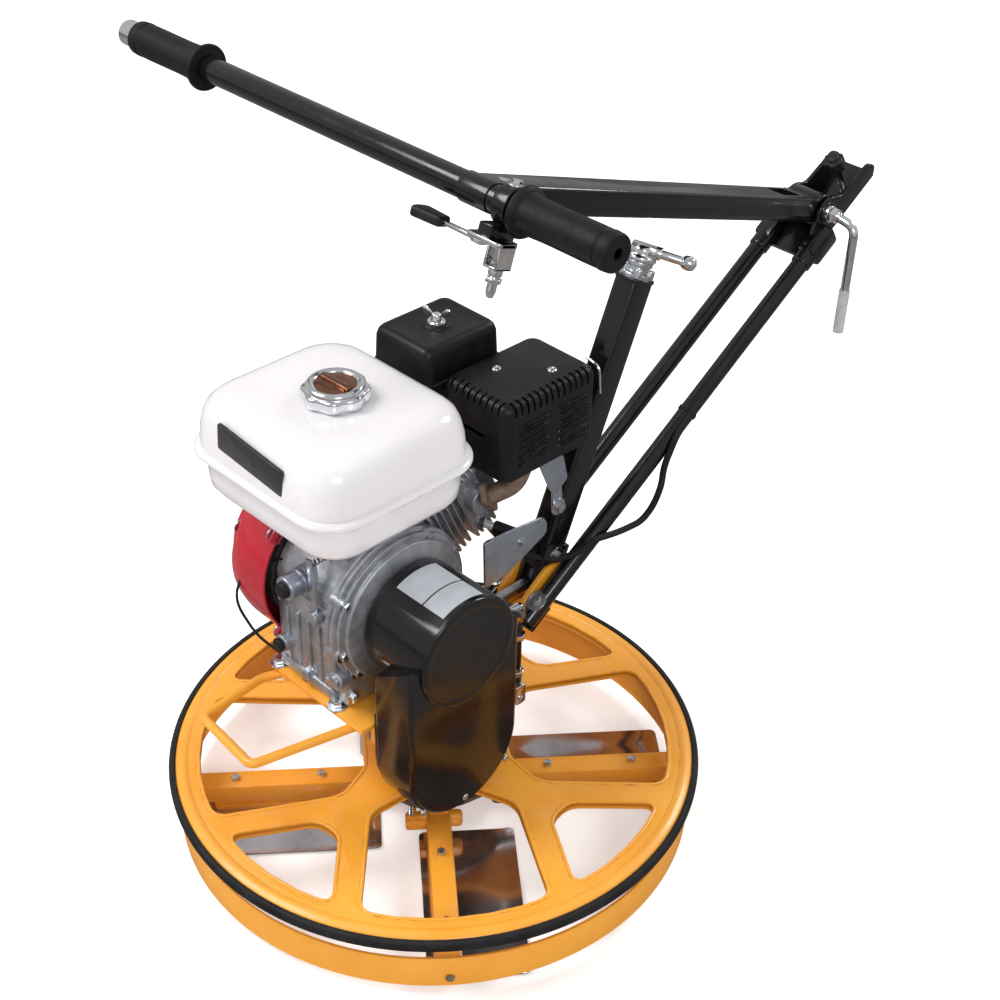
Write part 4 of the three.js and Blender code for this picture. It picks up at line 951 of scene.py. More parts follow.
def crankcase_cover():
    """The side cover has three cooling ribs round it, a bolted flange and the oil plug."""
    outline = [(10.5, -16), (90, -16, 1), (90, -11, 1), (87, -9, 1), (87, -6, 0.5), (92, -6, 1.2),
               (92, -2, 1.2), (86, 0, 1), (86, 2.5, 0.5), (89, 2.5, 1.2), (89, 6, 1.2), (82, 7, 1),
               (80, 9, 1), (83, 9.5, 1.2), (82, 13, 3), (60, 17, 6), (22, 18.5, 3), (10.5, 18.5)]
    dome = turned("x", fillet(outline, steps=3), CRANK, 96)
    sump = prism(rectangle((CRANK_Y - 76, CRANK_Y + 72), (209.3, CRANK_Z - 10), 10), -16, -1, "x", 2.5)
    rim = around(84, (28, 62, 152, 196, 222, 318, 344), CRANK)
    bosses = [drum("x", 9, -16, 3, at, 1.5, steps=24) for at in rim]
    low_bolts = ((CRANK_Y - 66, 222), (CRANK_Y + 62, 222), (CRANK_Y - 66, 262))
    bolts = bolts_at([(3, *at) for at in rim] + [(-1, *at) for at in low_bolts], RIGHT, 10, 5)
    plug = drum("y", 11.5, -138, -122, (-6, 253), 2)
    plug_face = drum("y", 8, -141, -136, (-6, 253), 1.2)
    web = prism(fillet(rectangle((CRANK_Y - 88, CRANK_Y - 60), (262, 318)), 6), -16, -4, "x", 2)
    piece("crankcase_cover_ribbed", "crankcase_cover", ([dome, sump] + bosses + [plug, web], ALLOY),
          (bolts, ZINC), (plug_face, BARE_PLATE))


def cylinder_barrel():
    fins = [prism(rectangle((-45, 45), (-46, 46), 9, 4), at, at + 2.4, "y", 0.7, 2)
            for at in [68 + 8.2 * i for i in range(7)]]
    barrel = drum("y", 41, 66, 126, edge=1)
    piece("cylinder_barrel_finned", "cylinder_barrel", (barrel, DARK_ALLOY), (fins, ALLOY), place=on_cylinder)


def cylinder_head():
    """The head with its fins, ports and rocker cover, and the spark plug under its boot."""
    body = block((-43, 43), (127, 160), (-41, 39), 3)
    fins = [prism(rectangle((-46, 45), (-50, 46), 7, 4), at, at + 2.4, "y", 0.7, 2)
            for at in [129 + 7 * i for i in range(5)]]
    fins += [block((x - 1.2, x + 1.2), (127, 158), (38, 50), 0.8) for x in [-38 + 10.8 * i for i in range(8)]]
    cover = prism(rectangle((-36, 34), (-34, 32), 12, 6), 160, 184, "y", 5, 4)
    flange = prism(rectangle((-40, 38), (-38, 36), 12, 6), 157, 162, "y", 1)
    exhaust = drum("x", 16, 30, 60, (146, 12), 2)
    inlet = drum("x", 13, -50, -30, (146, 18), 2)
    corners = ((-36, -34), (34, -34), (-36, 32), (34, 32))
    bolts = bolts_at([(x * 0.86, 162, z * 0.86) for x, z in corners], (0, 1, 0), 8, 4)
    plug_body, plug_nut, boot = [aimed(shape, (38, 138, -30), (0.75, 0.35, -0.45))
                                 for shape in (drum("z", 5, 0, 26, edge=1), prism(hexagon(9), 2, 10, edge=1),
                                               drum("z", 8, 20, 46, edge=3))]
    piece("cylinder_head_finned", "cylinder_head", ([body] + fins + [flange, exhaust, inlet], ALLOY),
          (cover, DARK_ALLOY), (bolts + [plug_nut], ZINC), (plug_body, CLEAR), (boot, RUBBER),
          place=on_cylinder)


CAP_AT = axis_of("fuel_cap_turn")
CAP_SEAT = 557


def fuel_tank():
    (left, front, _), (right, back, _) = extent("fuel_tank")
    low, high, seam = 438.0, 556.0, 492.0
    levels = [(low, 40, 26), (low + 0.6, 28, 32), (low + 4, 18, 38), (low + 12, 12.5, 41),
              (low + 26, 10.5, 43), (seam - 7, 9.5, 44), (seam - 4, 7.5, 44), (seam - 3.2, 1.2, 47),
              (seam - 1.5, 0, 48), (seam + 1.5, 0, 48), (seam + 3.4, 1.2, 47), (seam + 4.6, 5.5, 45),
              (seam + 7, 5.6, 45), (seam + 28, 7, 45), (seam + 42, 9.5, 45), (seam + 51, 13, 44),
              (seam + 57, 19, 42), (seam + 60.6, 27, 38), (seam + 62.4, 37, 32), (high - 0.6, 52, 24),
              (high, 80, 12)]
    body = rounded_box((left, right), (front, back), levels, 10)
    neck = turned("z", [(22, high - 4), (31, high - 4, 1), (30, high + 1, 2), (27, high + 4, 1),
                        (22, high + 4)], (CAP_AT.x, CAP_AT.y), 48)
    plate = moved(prism(rectangle((-51, 51), (-15.5, 15.5), 2.5), front + 5.6, front + 9.2, "y", 0.4),
                  (-70, 0, 525), (0, 5.5, 0))
    rear_screw = bolt((left + 12, 12, seam + 3), UP, 8, 3)
    piece("fuel_tank_shell", "fuel_tank", ([body, neck], WHITE), (plate, DARK_PLATE), (rear_screw, ZINC),
          crease=50)


def fuel_cap():
    skirt = prism(lobed(34.4, 1.5, 8, 96), 0.5, 14, edge=3.2, segments=4)
    rim = turned("z", [(20, 12, 1), (31, 13, 2), (30, 18, 3), (26, 20, 2), (22, 18, 1)], steps=72)
    top = turned("z", [(0, 12), (25, 12), (25, 16.4, 2), (14, 18.6, 4), (0, 18)], steps=72)
    handle = prism(rectangle((-21, 21), (-4, 4), 3.9), 16, 21.5, edge=2, segments=3)
    piece("fuel_cap_lobed", "fuel_cap", ([skirt, rim], CHROME), ([top, handle], TINTED),
          place=lambda shape: moved(shape, (CAP_AT.x, CAP_AT.y, CAP_SEAT)))


def wing_nut(position):
    boss = turned("z", [(0, 0), (7, 0, 1), (4.6, 9, 1.5), (0, 9)], steps=24)
    outline = fillet([(3, 2, 1), (13, 6, 4), (17, 15, 3), (12, 17, 4), (4, 8, 1)])
    wings = [moved(prism(outline, -1.4, 1.4, "y", 0.9), turn=(0, 0, turn)) for turn in (25, 205)]
    washer = drum("z", 10, -1.5, 0.4, edge=0.5, steps=32)
    return [moved(shape, position) for shape in [boss, washer] + wings]


def air_cleaner():
    (left, front, _), (right, back, _) = extent("air_cleaner_cover")
    split, top = 506.0, 553.0
    levels = [(split, 0.4, 12), (split + 1.5, 0, 12), (split + 5, 0, 12), (split + 6, 1.4, 11),
              (top - 11, 2.4, 11), (top - 5, 4, 11), (top - 1.5, 7, 9), (top, 11, 6), (top - 0.6, 14, 4),
              (top - 1.2, 30, 2)]
    shell = rounded_box((left, right), (front, back), levels, 6)
    centre = ((left + right) / 2, (front + back) / 2, top - 1)
    saucer = turned("z", [(0, -1), (17, -1, 0.5), (15, 2.2, 2), (0, 2.8)], steps=48)
    piece("air_cleaner_cover_shell", "air_cleaner_cover", ([shell, moved(saucer, centre)], SATIN),
          (wing_nut(Vector(centre) + Vector((0, 0, 3))), CHROME), crease=50)

    levels = [(482, 10, 8), (483, 6, 10), (487, 2.5, 11), (split - 6, 1.2, 12), (split - 4, 0, 12),
              (split - 0.5, 0, 12)]
    tray = rounded_box((left, right), (front, back), levels, 6)
    elbow = rounded_box((left + 1, left + 24), (91, 131),
                        [(438, 4, 6), (442, 1, 8), (478, 1, 8), (488, -2, 8)], 5)
    spout = drum("y", 11, 44, 70, (-100, 494), 2, 8)
    piece("air_cleaner_base_tray", "air_cleaner_base", ([tray, elbow, spout], SATIN), crease=50)


def carburettor():
    throat = drum("x", 16, -136.7, -110, (111, 456), 2, 11)
    body = block((-134, -114), (94, 128), (424, 448), 3)
    bowl = turned("z", [(0, 402), (9, 402, 2), (15, 408, 4), (15, 424, 1), (17, 425, 0.6), (17, 428, 0.6),
                        (0, 428)], (-125, 111), 40)
    drain = bolt((-125, 111, 402), DOWN, 9, 4)
    lever = block((-136, -133), (118, 146), (440, 447), 1)
    piece("carburettor_body", "carburettor", ([throat, body, bowl], ALLOY), (drain + [lever], ZINC))


MUFFLER_X, MUFFLER_Y, MUFFLER_Z = (-62.0, 38.0), (70.0, 208.0), (432.0, 524.0)
COMB_PITCH = 9.0


def muffler_guard():
    """A pressed cover with comb slots along its top edges, louvres in its sides and two screws on top."""
    left, right = MUFFLER_X
    front, back = MUFFLER_Y
    low, high = MUFFLER_Z
    levels = [(low, 0, 12), (high - 9, 0, 12), (high - 4, 1.4, 12), (high - 1, 4.5, 11), (high, 9, 9)]
    hollow = [(low - 5, 2, 10), (high - 9, 2, 10), (high - 4.5, 4, 9), (high - 2, 8, 8)]
    slots = [block((right - 12, right + 5), (y - 2, y + 2), (high - 16, high + 5), 0)
             for y in [front + 14 + COMB_PITCH * i for i in range(13)]]
    hoods = []
    for row in range(6):
        z = low + 14 + 9.5 * row
        for y in (front + 20, front + 80):
            slots += [block(x, (y, y + 42), (z - 1.6, z + 1.6), 0)
                      for x in ((right - 6, right + 5), (left - 5, left + 6))]
            hoods.append(block((right - 1.5, right + 2.2), (y - 1, y + 43), (z + 1.4, z + 3.2), 0.8))
    slots += [block((x - 1.6, x + 1.6), (front - 5, front + 12), (high - 12, high + 5), 0)
              for x in [left + 14 + COMB_PITCH * i for i in range(9)]]
    shell = carved(rounded_box(MUFFLER_X, MUFFLER_Y, levels, 5), rounded_box(MUFFLER_X, MUFFLER_Y, hollow, 5),
                   joined(slots))
    screws = [part for x, y in ((-33, 123), (10, 165)) for part in screw((x, y, high - 0.5), UP, 5.5, 3.4)]
    wire = rod([(18, back + 2, high + 1.5), (right - 0.5, back + 2, high - 2),
                (right + 2.5, back + 2, high - 34)], 1.7, 8, 10)
    piece("muffler_guard_pressed", "muffler_guard", ([shell] + hoods, SATIN), (screws + [wire], CHROME))


def muffler_body():
    levels = [(448, 8, 12), (450, 3, 15), (456, 0, 16), (500, 0, 16), (506, 3, 15), (508, 8, 12)]
    can = rounded_box((-48, 20), (72, 190), levels, 6)
    seam = rounded_box((-50, 22), (70, 192), [(476, 0, 18), (480, 0, 18)], 6)
    pipe = rod([(15, 120, 456), (15, 120, 424), (14, 108, 404), (-4, 80, 390)], 11, 14, 24)
    flange = aimed(prism(fillet(rectangle((-22, 22), (-13, 13)), 9), 0, 7, edge=1), (2, 84, 393),
                   (-1, -0.9, -0.5))
    tail = drum("x", 8, 18, 31, (172, 470), 1, 6.4)
    piece("muffler_can", "muffler_body", ([can, seam], SATIN), ([pipe, flange, tail], SCALED))


def heat_shield():
    """A folded sheet beside the cylinder, and the small stay plate under the muffler."""
    outline = fillet([(52, 298, 3), (50, 361, 6), (141, 351, 6), (148, 340, 4), (148, 326, 5), (84, 298, 6)])
    plate = prism(outline, 25, 27.5, "x", 0.6)
    fold = prism(fillet([(50, 300), (48, 361), (62, 360), (72, 300)], 2), 26.5, 30, "x", 0.6)
    stay = prism(fillet([(139, 417), (177, 415), (186, 380), (168, 366), (158, 374)], 4), 19, 21, "x", 0.5)
    strap = prism(fillet([(162, 384), (176, 384), (184, 336), (166, 336)], 4), 16.5, 19.5, "x", 0.8)
    bolts = bolt((27.5, 108, 332), RIGHT, 7, 3) + bolt((19.5, 173, 346), RIGHT, 11, 6)
    piece("heat_shield_plate", "heat_shield", ([plate, fold, stay, strap], BARE_PLATE), (bolts, ZINC))


FAN_BACK = -184.0
ROPE_X, ROPE_Z = -198.0, 347.0


def fan_cover():
    profile = fillet([(92.5, -112.4, 0.5), (95, -112.4, 0.5), (95, -158, 14), (87, FAN_BACK + 1, 10),
                      (54, FAN_BACK, 1), (54, FAN_BACK + 2.5, 1), (84, FAN_BACK + 3.5, 10),
                      (92.5, -157, 13)], steps=6)
    shell = turned("x", profile, CRANK, 96)
    shell = carved(shell, block((-200, -100), (-300, 300), (100, 213), 0))
    turns = (48, -48, 132)
    ears = [moved(block((-118, -112.4), (-8, 8), (87, 103), 2), (0, *CRANK), (turn, 0, 0)) for turn in turns]
    bolts = bolts_at([(-118, *at) for at in around(98, [90 + turn for turn in turns], CRANK)], LEFT, 9, 4)
    piece("fan_cover_shell", "fan_cover", ([shell] + ears, RED), (bolts, ZINC))


def recoil_starter():
    back = FAN_BACK - 26
    profile = fillet([(66, FAN_BACK - 0.3, 0.5), (70, FAN_BACK - 0.3, 0.5), (69, back + 7, 8),
                      (56, back - 1, 8), (24, back, 2), (20, back + 3, 2), (0, back + 3), (0, back + 6),
                      (52, back + 6, 6), (64, back + 13, 6)], steps=4)
    wedges = [arc(46, turn - 7, turn + 7, 2, CRANK) + arc(26, turn + 7, turn - 7, 2, CRANK)
              for turn in range(0, 360, 30)]
    slots = joined([prism(wedge, back - 6, back + 12, "x") for wedge in wedges])
    dome = carved(turned("x", profile, CRANK, 96), slots)
    guide = carved(block((ROPE_X - 10, ROPE_X + 10), (8, 30), (337, 357), 3),
                   drum("y", 4, -12, 38, (ROPE_X, ROPE_Z), 0))
    bolts = bolts_at([(FAN_BACK, *at) for at in arc(78, 30, 270, 2, CRANK)], LEFT, 9, 4)
    piece("recoil_housing_slotted", "recoil_housing", ([dome, guide], RED), (bolts, ZINC))
    levels = ((338.5, 8, 5), (340, 13, 7.4), (347, 18, 8), (354, 13, 7.4), (355.5, 8, 5))
    handle = loft([(rectangle((ROPE_X - half, ROPE_X + half), (42 - deep, 42 + deep), deep * 0.9, 5), z)
                   for z, half, deep in levels])
    rope = rod([(ROPE_X, 36, ROPE_Z), (ROPE_X, -44, ROPE_Z)], 2, sides=12)
    piece("recoil_grip_moulded", "recoil_grip", ([handle, rope], PLASTIC))


def stop_switch():
    switch = tuple(round(value, 2) for value in axis_of("stop_switch_turn").xz)
    barrel = drum("y", 14, -152, -128.3, switch, 2)
    ring = drum("y", 15, -134, -130, switch, 1)
    knob = turned("y", [(0, -150), (10, -150), (9, -158, 2), (0, -158)], switch, 32)
    piece("stop_switch_barrel", "stop_switch", ([barrel, ring], BARE_PLATE), (knob, PLASTIC))


# ---------------------------------------------------------------- blade-pitch control

COLUMN_FOOT, COLUMN_LEAN, COLUMN_TOP = (0, 147, 209), -22.7, 405.0


def on_column(shape):
    """Turns a shape drawn along +Z from the column's foot onto the leaning column."""
    return moved(shape, COLUMN_FOOT, (COLUMN_LEAN, 0, 0))


def pitch_column():
    tube = carved(prism(rectangle((-15, 15), (-18, 18), 5, 5), 12, COLUMN_TOP, edge=1),
                  prism(rectangle((-12.5, 12.5), (-15.5, 15.5), 3, 4), 5, COLUMN_TOP - 4),
                  block((-7.5, 7.5), (-30, 0), (0, 52), 1))
    cap = prism(rectangle((-16, 16), (-19, 19), 5, 5), COLUMN_TOP - 3, COLUMN_TOP + 1.5, edge=1)
    collar = turned("z", [(5.5, COLUMN_TOP), (17, COLUMN_TOP, 1), (17, COLUMN_TOP + 6, 2),
                          (13, COLUMN_TOP + 8, 1), (13, COLUMN_TOP + 14, 1), (15, COLUMN_TOP + 15, 1),
                          (15, COLUMN_TOP + 20, 1), (5.5, COLUMN_TOP + 20)], steps=48)
    lobes = [moved(drum("z", 5, COLUMN_TOP + 1, COLUMN_TOP + 12, (15, 0), 1.5, steps=20), turn=(0, 0, turn))
             for turn in (45, 135, 225, 315)]
    strap = block((-18, 18), (-21, 21), (58, 84), 2)
    lugs = bolt((18, 0, 71), RIGHT, 12, 5) + bolt((-18, 0, 71), LEFT, 12, 5)
    piece("pitch_column_tube", "pitch_column", ([tube, cap, strap], BLACK), ([collar] + lobes + lugs, ZINC),
          place=on_column)


def pitch_crank():
    top = COLUMN_TOP
    screw_rod = drum("z", 5, 16, top + 24, edge=0.8)
    hub = turned("z", [(0, top + 20.4), (17, top + 20.4, 1.5), (17, top + 25, 1.5), (14, top + 27, 2),
                       (14, top + 34, 2), (11, top + 38, 3), (0, top + 38)], steps=48)
    flats = moved(block((-15, 15), (-10, 10), (top + 26, top + 39), 2.5), turn=(0, 0, 35))
    lever = drum("x", 5, 8, 48, (0, top + 33), 1)
    collar = drum("x", 7.5, 12, 20, (0, top + 33), 1.2)
    ball = turned("x", fillet([(0, 42), (4.5, 42, 1), (8, 46, 3), (8.4, 52, 4), (7, 58, 4), (0, 60.5)],
                              steps=6), (0, top + 33), 36)
    swung = [moved(shape, turn=(0, 0, 35)) for shape in (lever, collar, ball)]
    piece("pitch_crank_lever", "pitch_crank", ([hub, flats] + swung, CHROME), (screw_rod, STEEL),
          place=on_column)


def pitch_link():
    x, y, top, low = 32, 100, 240, 116
    bar = drum("z", 5.5, low + 16, top - 14, (x, y), 0.6)
    threads = [drum("z", 6.2, z, z + 1.2, (x, y), 0.5, steps=20)
               for z in (136, 139, 142, 145, 212, 215, 218, 221)]
    nuts = [moved(prism(hexagon(10), 0, 7, edge=0.9), (x, y, z)) for z in (149, 203)]
    eye = prism(fillet(rectangle((y - 18, y + 8), (top - 16, top + 11)), 7), x - 4, x + 4, "x", 0.8)
    eye = carved(eye, block((x - 6, x + 6), (y - 13, y + 5), (top - 5, top + 5), 1))
    fork = prism(fillet(rectangle((y - 8, y + 8), (low - 9, low + 19)), 5), x - 9, x + 9, "x", 1)
    fork = carved(fork, block((x - 5, x + 5), (y - 20, y + 20), (low - 12, low + 10), 0))
    pin = drum("x", 3.5, x - 11, x + 11, (y, low), 0.6)
    piece("pitch_link_rod", "pitch_link", ([eye, fork, pin] + nuts, CHROME), ([bar] + threads, BLACK))


# ---------------------------------------------------------------- handle

TUBE_FOOT, TUBE_SLOPE, TUBE_SPREAD, TUBE_R = (0, 102, 209), 33.45, 32.0, 10.5
TUBE_END = 596.0
PIVOT_ALONG, PIVOT_ABOVE = 629.5, 16.8
FOLD = 161.3
FOLD_AT = axis_of("handle_fold")
BAR_LENGTH, BAR_HALF_WIDTH, BAR_HALF_HEIGHT = 578.7, 22.5, 15.0
CROSSBAR_R = 14.5


def on_lower(shape):
    """Turns a shape drawn along +Y from the tubes' foot onto the lower handle."""
    return moved(shape, TUBE_FOOT, (TUBE_SLOPE, 0, 0))


def on_upper(shape):
    """Turns a shape drawn along +Y from the fold axis onto the folded upper handle."""
    return moved(shape, FOLD_AT, (FOLD, 0, 0))


def lower_handle():
    tubes = [drum("y", TUBE_R, 14, TUBE_END, (x, 0), 1.5) for x in (-TUBE_SPREAD, TUBE_SPREAD)]
    collars = [drum("y", TUBE_R + 2, 560, 598, (x, 0), 2.5) for x in (-TUBE_SPREAD, TUBE_SPREAD)]
    feet = [block((x - 8, x + 8), (10, 46), (-13, -4), 2) for x in (-TUBE_SPREAD, TUBE_SPREAD)]
    body = carved(block((-46, 46), (574, 618), (-15, 12), 5), block((-23.5, 23.5), (560, 630), (-4, 20), 0))
    web = prism(rectangle((-29, 29), (600, 718), 3), -15, -10, edge=1)
    outline = fillet([(592, -15, 3), (716, -15, 5), (724, -4, 5), (716, 8, 6), (660, 12, 14), (648, 26, 8),
                      (638, 31, 8), (621, 31, 9), (607, 20, 8), (592, 8, 4)], steps=5)
    cheeks = [prism(outline, low, low + 5.4, "x", 1) for low in (23.5, -28.9)]
    bosses = [drum("x", 13.5, low, low + 3, (PIVOT_ALONG, PIVOT_ABOVE), 1) for low in (-31.5, 28)]
    ribs = [block((-26, 26), (y, y + 3), (-16.5, -12), 1) for y in (640, 660, 680, 700)]
    bolts = bolts_at([(TUBE_SPREAD, 40, 11), (-TUBE_SPREAD, 40, 11)], UP, 13, 5)
    black = tubes + collars + feet + [body, web] + cheeks + bosses + ribs
    piece("lower_handle_frame", "lower_handle", (black, BLACK), (bolts, ZINC), place=on_lower)


def lock_knob():
    shank = drum("z", 5, -22, 16, (0, 690), 0.8)
    head = moved(prism(lobed(11.8, 1.0, 6, 80), 18, 35, edge=2.5, segments=4), (0, 690, 0))
    neck = turned("z", [(0, 13), (7, 13, 1), (9, 19, 1), (0, 19)], (0, 690), 32)
    cap = turned("z", [(0, 33), (8, 33), (6.5, 38, 2), (0, 39)], (0, 690), 32)
    nut = moved(prism(hexagon(9.5), -22, -15.3, edge=1), (0, 690, 0))
    piece("lock_knob_lobed", "lock_knob", ([head, neck, cap], PLASTIC), ([shank, nut], CHROME),
          place=on_lower)


def clamp_lever():
    """The clamp bolt carries a bent rod handle with a clear vinyl sleeve on its lower end."""
    bolt_shaft = drum("x", 6, -38, 50, (0, 0), 1)
    head = aimed(prism(hexagon(11.5), 0, 8.5, edge=1.2), (-38, 0, 0), RIGHT)
    collar = drum("x", 10.5, 29.8, 36, (0, 0), 1)
    nut = aimed(prism(hexagon(10), 0, 8, edge=1.2), (37, 0, 0), RIGHT)
    path = [(44, 0, 0), (72, -2, -4), (77, -14, -136)]
    lever = rod(path, 5.5, 22)
    start = Vector(path[1]).lerp(Vector(path[2]), 0.6)
    sleeve = rod([tuple(start), tuple(Vector(path[2]) + Vector((0.2, -0.3, -2)))], 6.6, sides=24)
    piece("clamp_lever_bent", "clamp_lever", ([bolt_shaft, head, collar, nut, lever], CHROME),
          (sleeve, CLEAR), place=lambda shape: moved(shape, FOLD_AT))


def upper_handle():
    outline = rectangle((-BAR_HALF_WIDTH, BAR_HALF_WIDTH), (-BAR_HALF_HEIGHT, BAR_HALF_HEIGHT), 4, 4)
    bar = prism(outline, 0, BAR_LENGTH - 5, "y", 0.8)
    knob_slot = prism(rectangle((-13.5, 13.5), (42, 80), 6, 4), -30, 30)
    bar = carved(bar, knob_slot, drum("x", 6.3, -60, 60, (0, 0), 0))
    knuckle = carved(drum("x", 20, -BAR_HALF_WIDTH, BAR_HALF_WIDTH, (0, 0), 2),
                     drum("x", 6.3, -60, 60, (0, 0), 0))
    bracket = block((-25, 25), (BAR_LENGTH - 36, BAR_LENGTH - 2), (-10, 10), 5)
    saddle = drum("x", CROSSBAR_R + 1.6, -24, 16, (BAR_LENGTH, 0), 2.5, CROSSBAR_R - 0.5)
    end_plug = drum("x", CROSSBAR_R - 1.9, -596, -588, (BAR_LENGTH, 0), 1)
    bright_end = drum("x", CROSSBAR_R + 0.5, -600.5, -577, (BAR_LENGTH, 0), 1.2, CROSSBAR_R - 2)
    inner_bolt = bolt((4, BAR_LENGTH - 20, 10), UP, 12, 6) + bolt((4, BAR_LENGTH - 20, -10), DOWN, 12, 6)
    crossbar = carved(drum("x", CROSSBAR_R, -600, 172, (BAR_LENGTH, 0), 1, steps=48),
                      drum("x", CROSSBAR_R - 2.2, -610, 180, (BAR_LENGTH, 0), 0, steps=32))
    piece("upper_handle_bar", "upper_handle", ([bar, knuckle, bracket, saddle, crossbar], BLACK),
          (inner_bolt + [bright_end, end_plug], CHROME), place=on_upper)


def grip(name, inner, outer, closed):
    """A rubber sleeve with an inner flange, a groove near its outer end and a rounded rim."""
    side = 1 if outer > inner else -1
    length = abs(outer - inner)
    hole = CROSSBAR_R + 0.3
    points = [(hole, 0), (26, 0, 2), (27, 3, 2), (25, 7, 2), (20.5, 9.5, 3), (19.4, 40, 10),
              (19.8, length - 30, 8), (19.6, length - 17, 0.8), (18.4, length - 15.5, 0.6),
              (18.4, length - 14, 0.6), (20.2, length - 12.5, 1.2), (19.4, length, 3.5)]
    points += [(6, length), (6, length - 3.5), (hole, length - 3.5)] if closed else [(hole, length)]
    profile = fillet([(radius, inner + side * along, *own) for radius, along, *own in points], steps=3)
    sleeve = turned("x", profile, (BAR_LENGTH, 0), 72)
    piece(f"{name}_ribbed", name, (sleeve, GRIP), place=on_upper)


THROTTLE_X, THROTTLE_AHEAD, THROTTLE_DECK = 38.0, BAR_LENGTH + 21, 29.0


def throttle():
    x, ahead, deck = THROTTLE_X, THROTTLE_AHEAD, THROTTLE_DECK
    cable_x = x + 19
    ring = drum("x", 21, x - 9, x + 9, (BAR_LENGTH, 0), 1.5, CROSSBAR_R + 0.3)
    neck = block((x - 9, x + 9), (BAR_LENGTH - 6, ahead + 9), (17, deck + 5), 2)
    platform = prism(rectangle((x - 18, cable_x + 9), (ahead - 15, ahead + 15), 6), deck, deck + 5, edge=1)
    cheeks = [block((low, low + 3), (ahead - 11, ahead + 11), (deck, deck + 27), 1)
              for low in (cable_x - 9, cable_x + 6)]
    bridge = block((cable_x - 9, cable_x + 9), (ahead - 11, ahead + 11), (deck + 24, deck + 27), 1)
    barrel = turned("z", [(1.6, deck + 25), (6.5, deck + 25, 0.6), (6.5, deck + 34, 0.6),
                          (5, deck + 35, 0.6), (5, deck + 50, 1), (3.4, deck + 56, 1), (1.6, deck + 56)],
                    (cable_x, ahead), 32)
    knurls = [moved(block((5.6, 7.2), (-0.6, 0.6), (deck + 26, deck + 33), 0.3), (cable_x, ahead, 0),
                    (0, 0, turn)) for turn in range(0, 360, 24)]
    lock_nut = moved(prism(hexagon(8.4), deck + 36, deck + 41, edge=0.8), (cable_x, ahead, 0))
    clamp_screw = bolt((x, BAR_LENGTH, -20), DOWN, 10, 5)
    piece("throttle_housing_bracket", "throttle_housing",
          ([platform, bridge, barrel, lock_nut] + cheeks + knurls, CHROME), ([ring, neck], BLACK),
          (clamp_screw, CHROME), place=on_upper)

    low = deck + 5.3
    disc = turned("z", [(0, low), (9.5, low, 0.6), (9.5, low + 5, 1.4), (4, low + 7, 1), (0, low + 7)],
                  (x - 10, ahead), 36)
    stud = drum("z", 3, deck - 6, low + 5, (x - 10, ahead), 0.4)
    paddle = prism(fillet([(-22, ahead - 9, 4), (-60, ahead - 13, 5), (-65, ahead, 12), (-60, ahead + 13, 5),
                           (-22, ahead + 9, 4)], steps=5), low - 3, low + 8, edge=3, segments=4)
    neck_bar = prism(fillet([(x - 14, ahead - 5), (-26, ahead - 3.5), (-26, ahead + 3.5),
                             (x - 14, ahead + 5)], 2), low + 0.5, low + 4.5, edge=0.8)
    piece("throttle_lever_paddle", "throttle_lever", (paddle, PLASTIC), ([disc, stud, neck_bar], CHROME),
          place=on_upper)


def cables():
    """The throttle cable hangs in a loop from the near lower tube and goes in beside the column's foot."""
    path = [(44, 470, 470), (45, 400, 421), (45, 345, 380), (48, 322, 345), (50, 318, 322), (50, 306, 299),
            (50, 286, 286), (49, 247, 289), (47, 207, 297), (38, 190, 282), (22, 170, 272), (-6, 128, 290),
            (-60, 100, 352), (-118, 112, 400), (-125, 118, 420)]
    cable = rod(path, 4.0, 16, 12)
    tie = on_lower(moved(drum("y", TUBE_R + 1.4, -2.5, 2.5, (0, 0), 0.8, TUBE_R - 0.2, 32),
                         (TUBE_SPREAD, 330, 0)))
    wire = rod([(-108, -120, 352), (-150, -140, 330), (-165, -150, 280), (-140, -140, 238),
                (-112, -130, 224)], 1.6, 22, 8)
    ignition = rod([(-16, 100, 372), (-6, 120, 392), (-24, 110, 424), (-90, 44, 420), (-118, 10, 398)],
                   3.4, 26, 10)
    piece("control_cables", None, ([cable, wire, ignition, tie], RUBBER), slot="rubber")


# ---------------------------------------------------------------- pieces kept in the shape the CAD gives them

PLAIN = [
    (ORANGE, 1.5, ["gearbox_housing", "gearbox_lid", "spider"]),
    (STEEL, 0.4, ["output_bearing", "guard_bearing", "output_shaft", "pressure_plate", "pitch_sleeve",
                  "pitch_yoke", "pitch_nut", "worm_shaft", "crankshaft", "clutch_drum"]),
    (IRON, 0.6, ["driven_pulley", "clutch_hub", "flywheel"]),
    (BRONZE, 0.2, ["worm_wheel"]),
    (RUBBER, 0.6, ["drive_belt"]),
    (BLACK, 0.6, ["belt_cover_back"]),
    (ALLOY, 2.0, ["crankcase"]),
]


def carried_over():
    for material, bevel, nodes in PLAIN:
        for node in nodes:
            refined(node, material, bevel)


def machine():
    """Every piece, in the order from the ground up."""
    ground_end()
    engine_plate()
    guard_bar()
    gearbox_details()
    belt_cover()
    crankcase_details()
    crankcase_cover()
    cylinder_barrel()
    cylinder_head()
    fuel_tank()
    fuel_cap()
    air_cleaner()
    carburettor()
    muffler_guard()
    muffler_body()
    heat_shield()
    fan_cover()
    recoil_starter()
    stop_switch()
    pitch_column()
    pitch_crank()
    pitch_link()
    lower_handle()
    lock_knob()
    clamp_lever()
    upper_handle()
    grip("grip_left", -446, -576, False)
    grip("grip_right", 54, 176, True)
    throttle()
    cables()
    carried_over()


machine()


# ---------------------------------------------------------------- floor, light and camera

FLOOR_REACH = 30.0
FLOOR_GLOW = 0.34  # light the floor shows the camera of its own, so that it stays pale at a distance


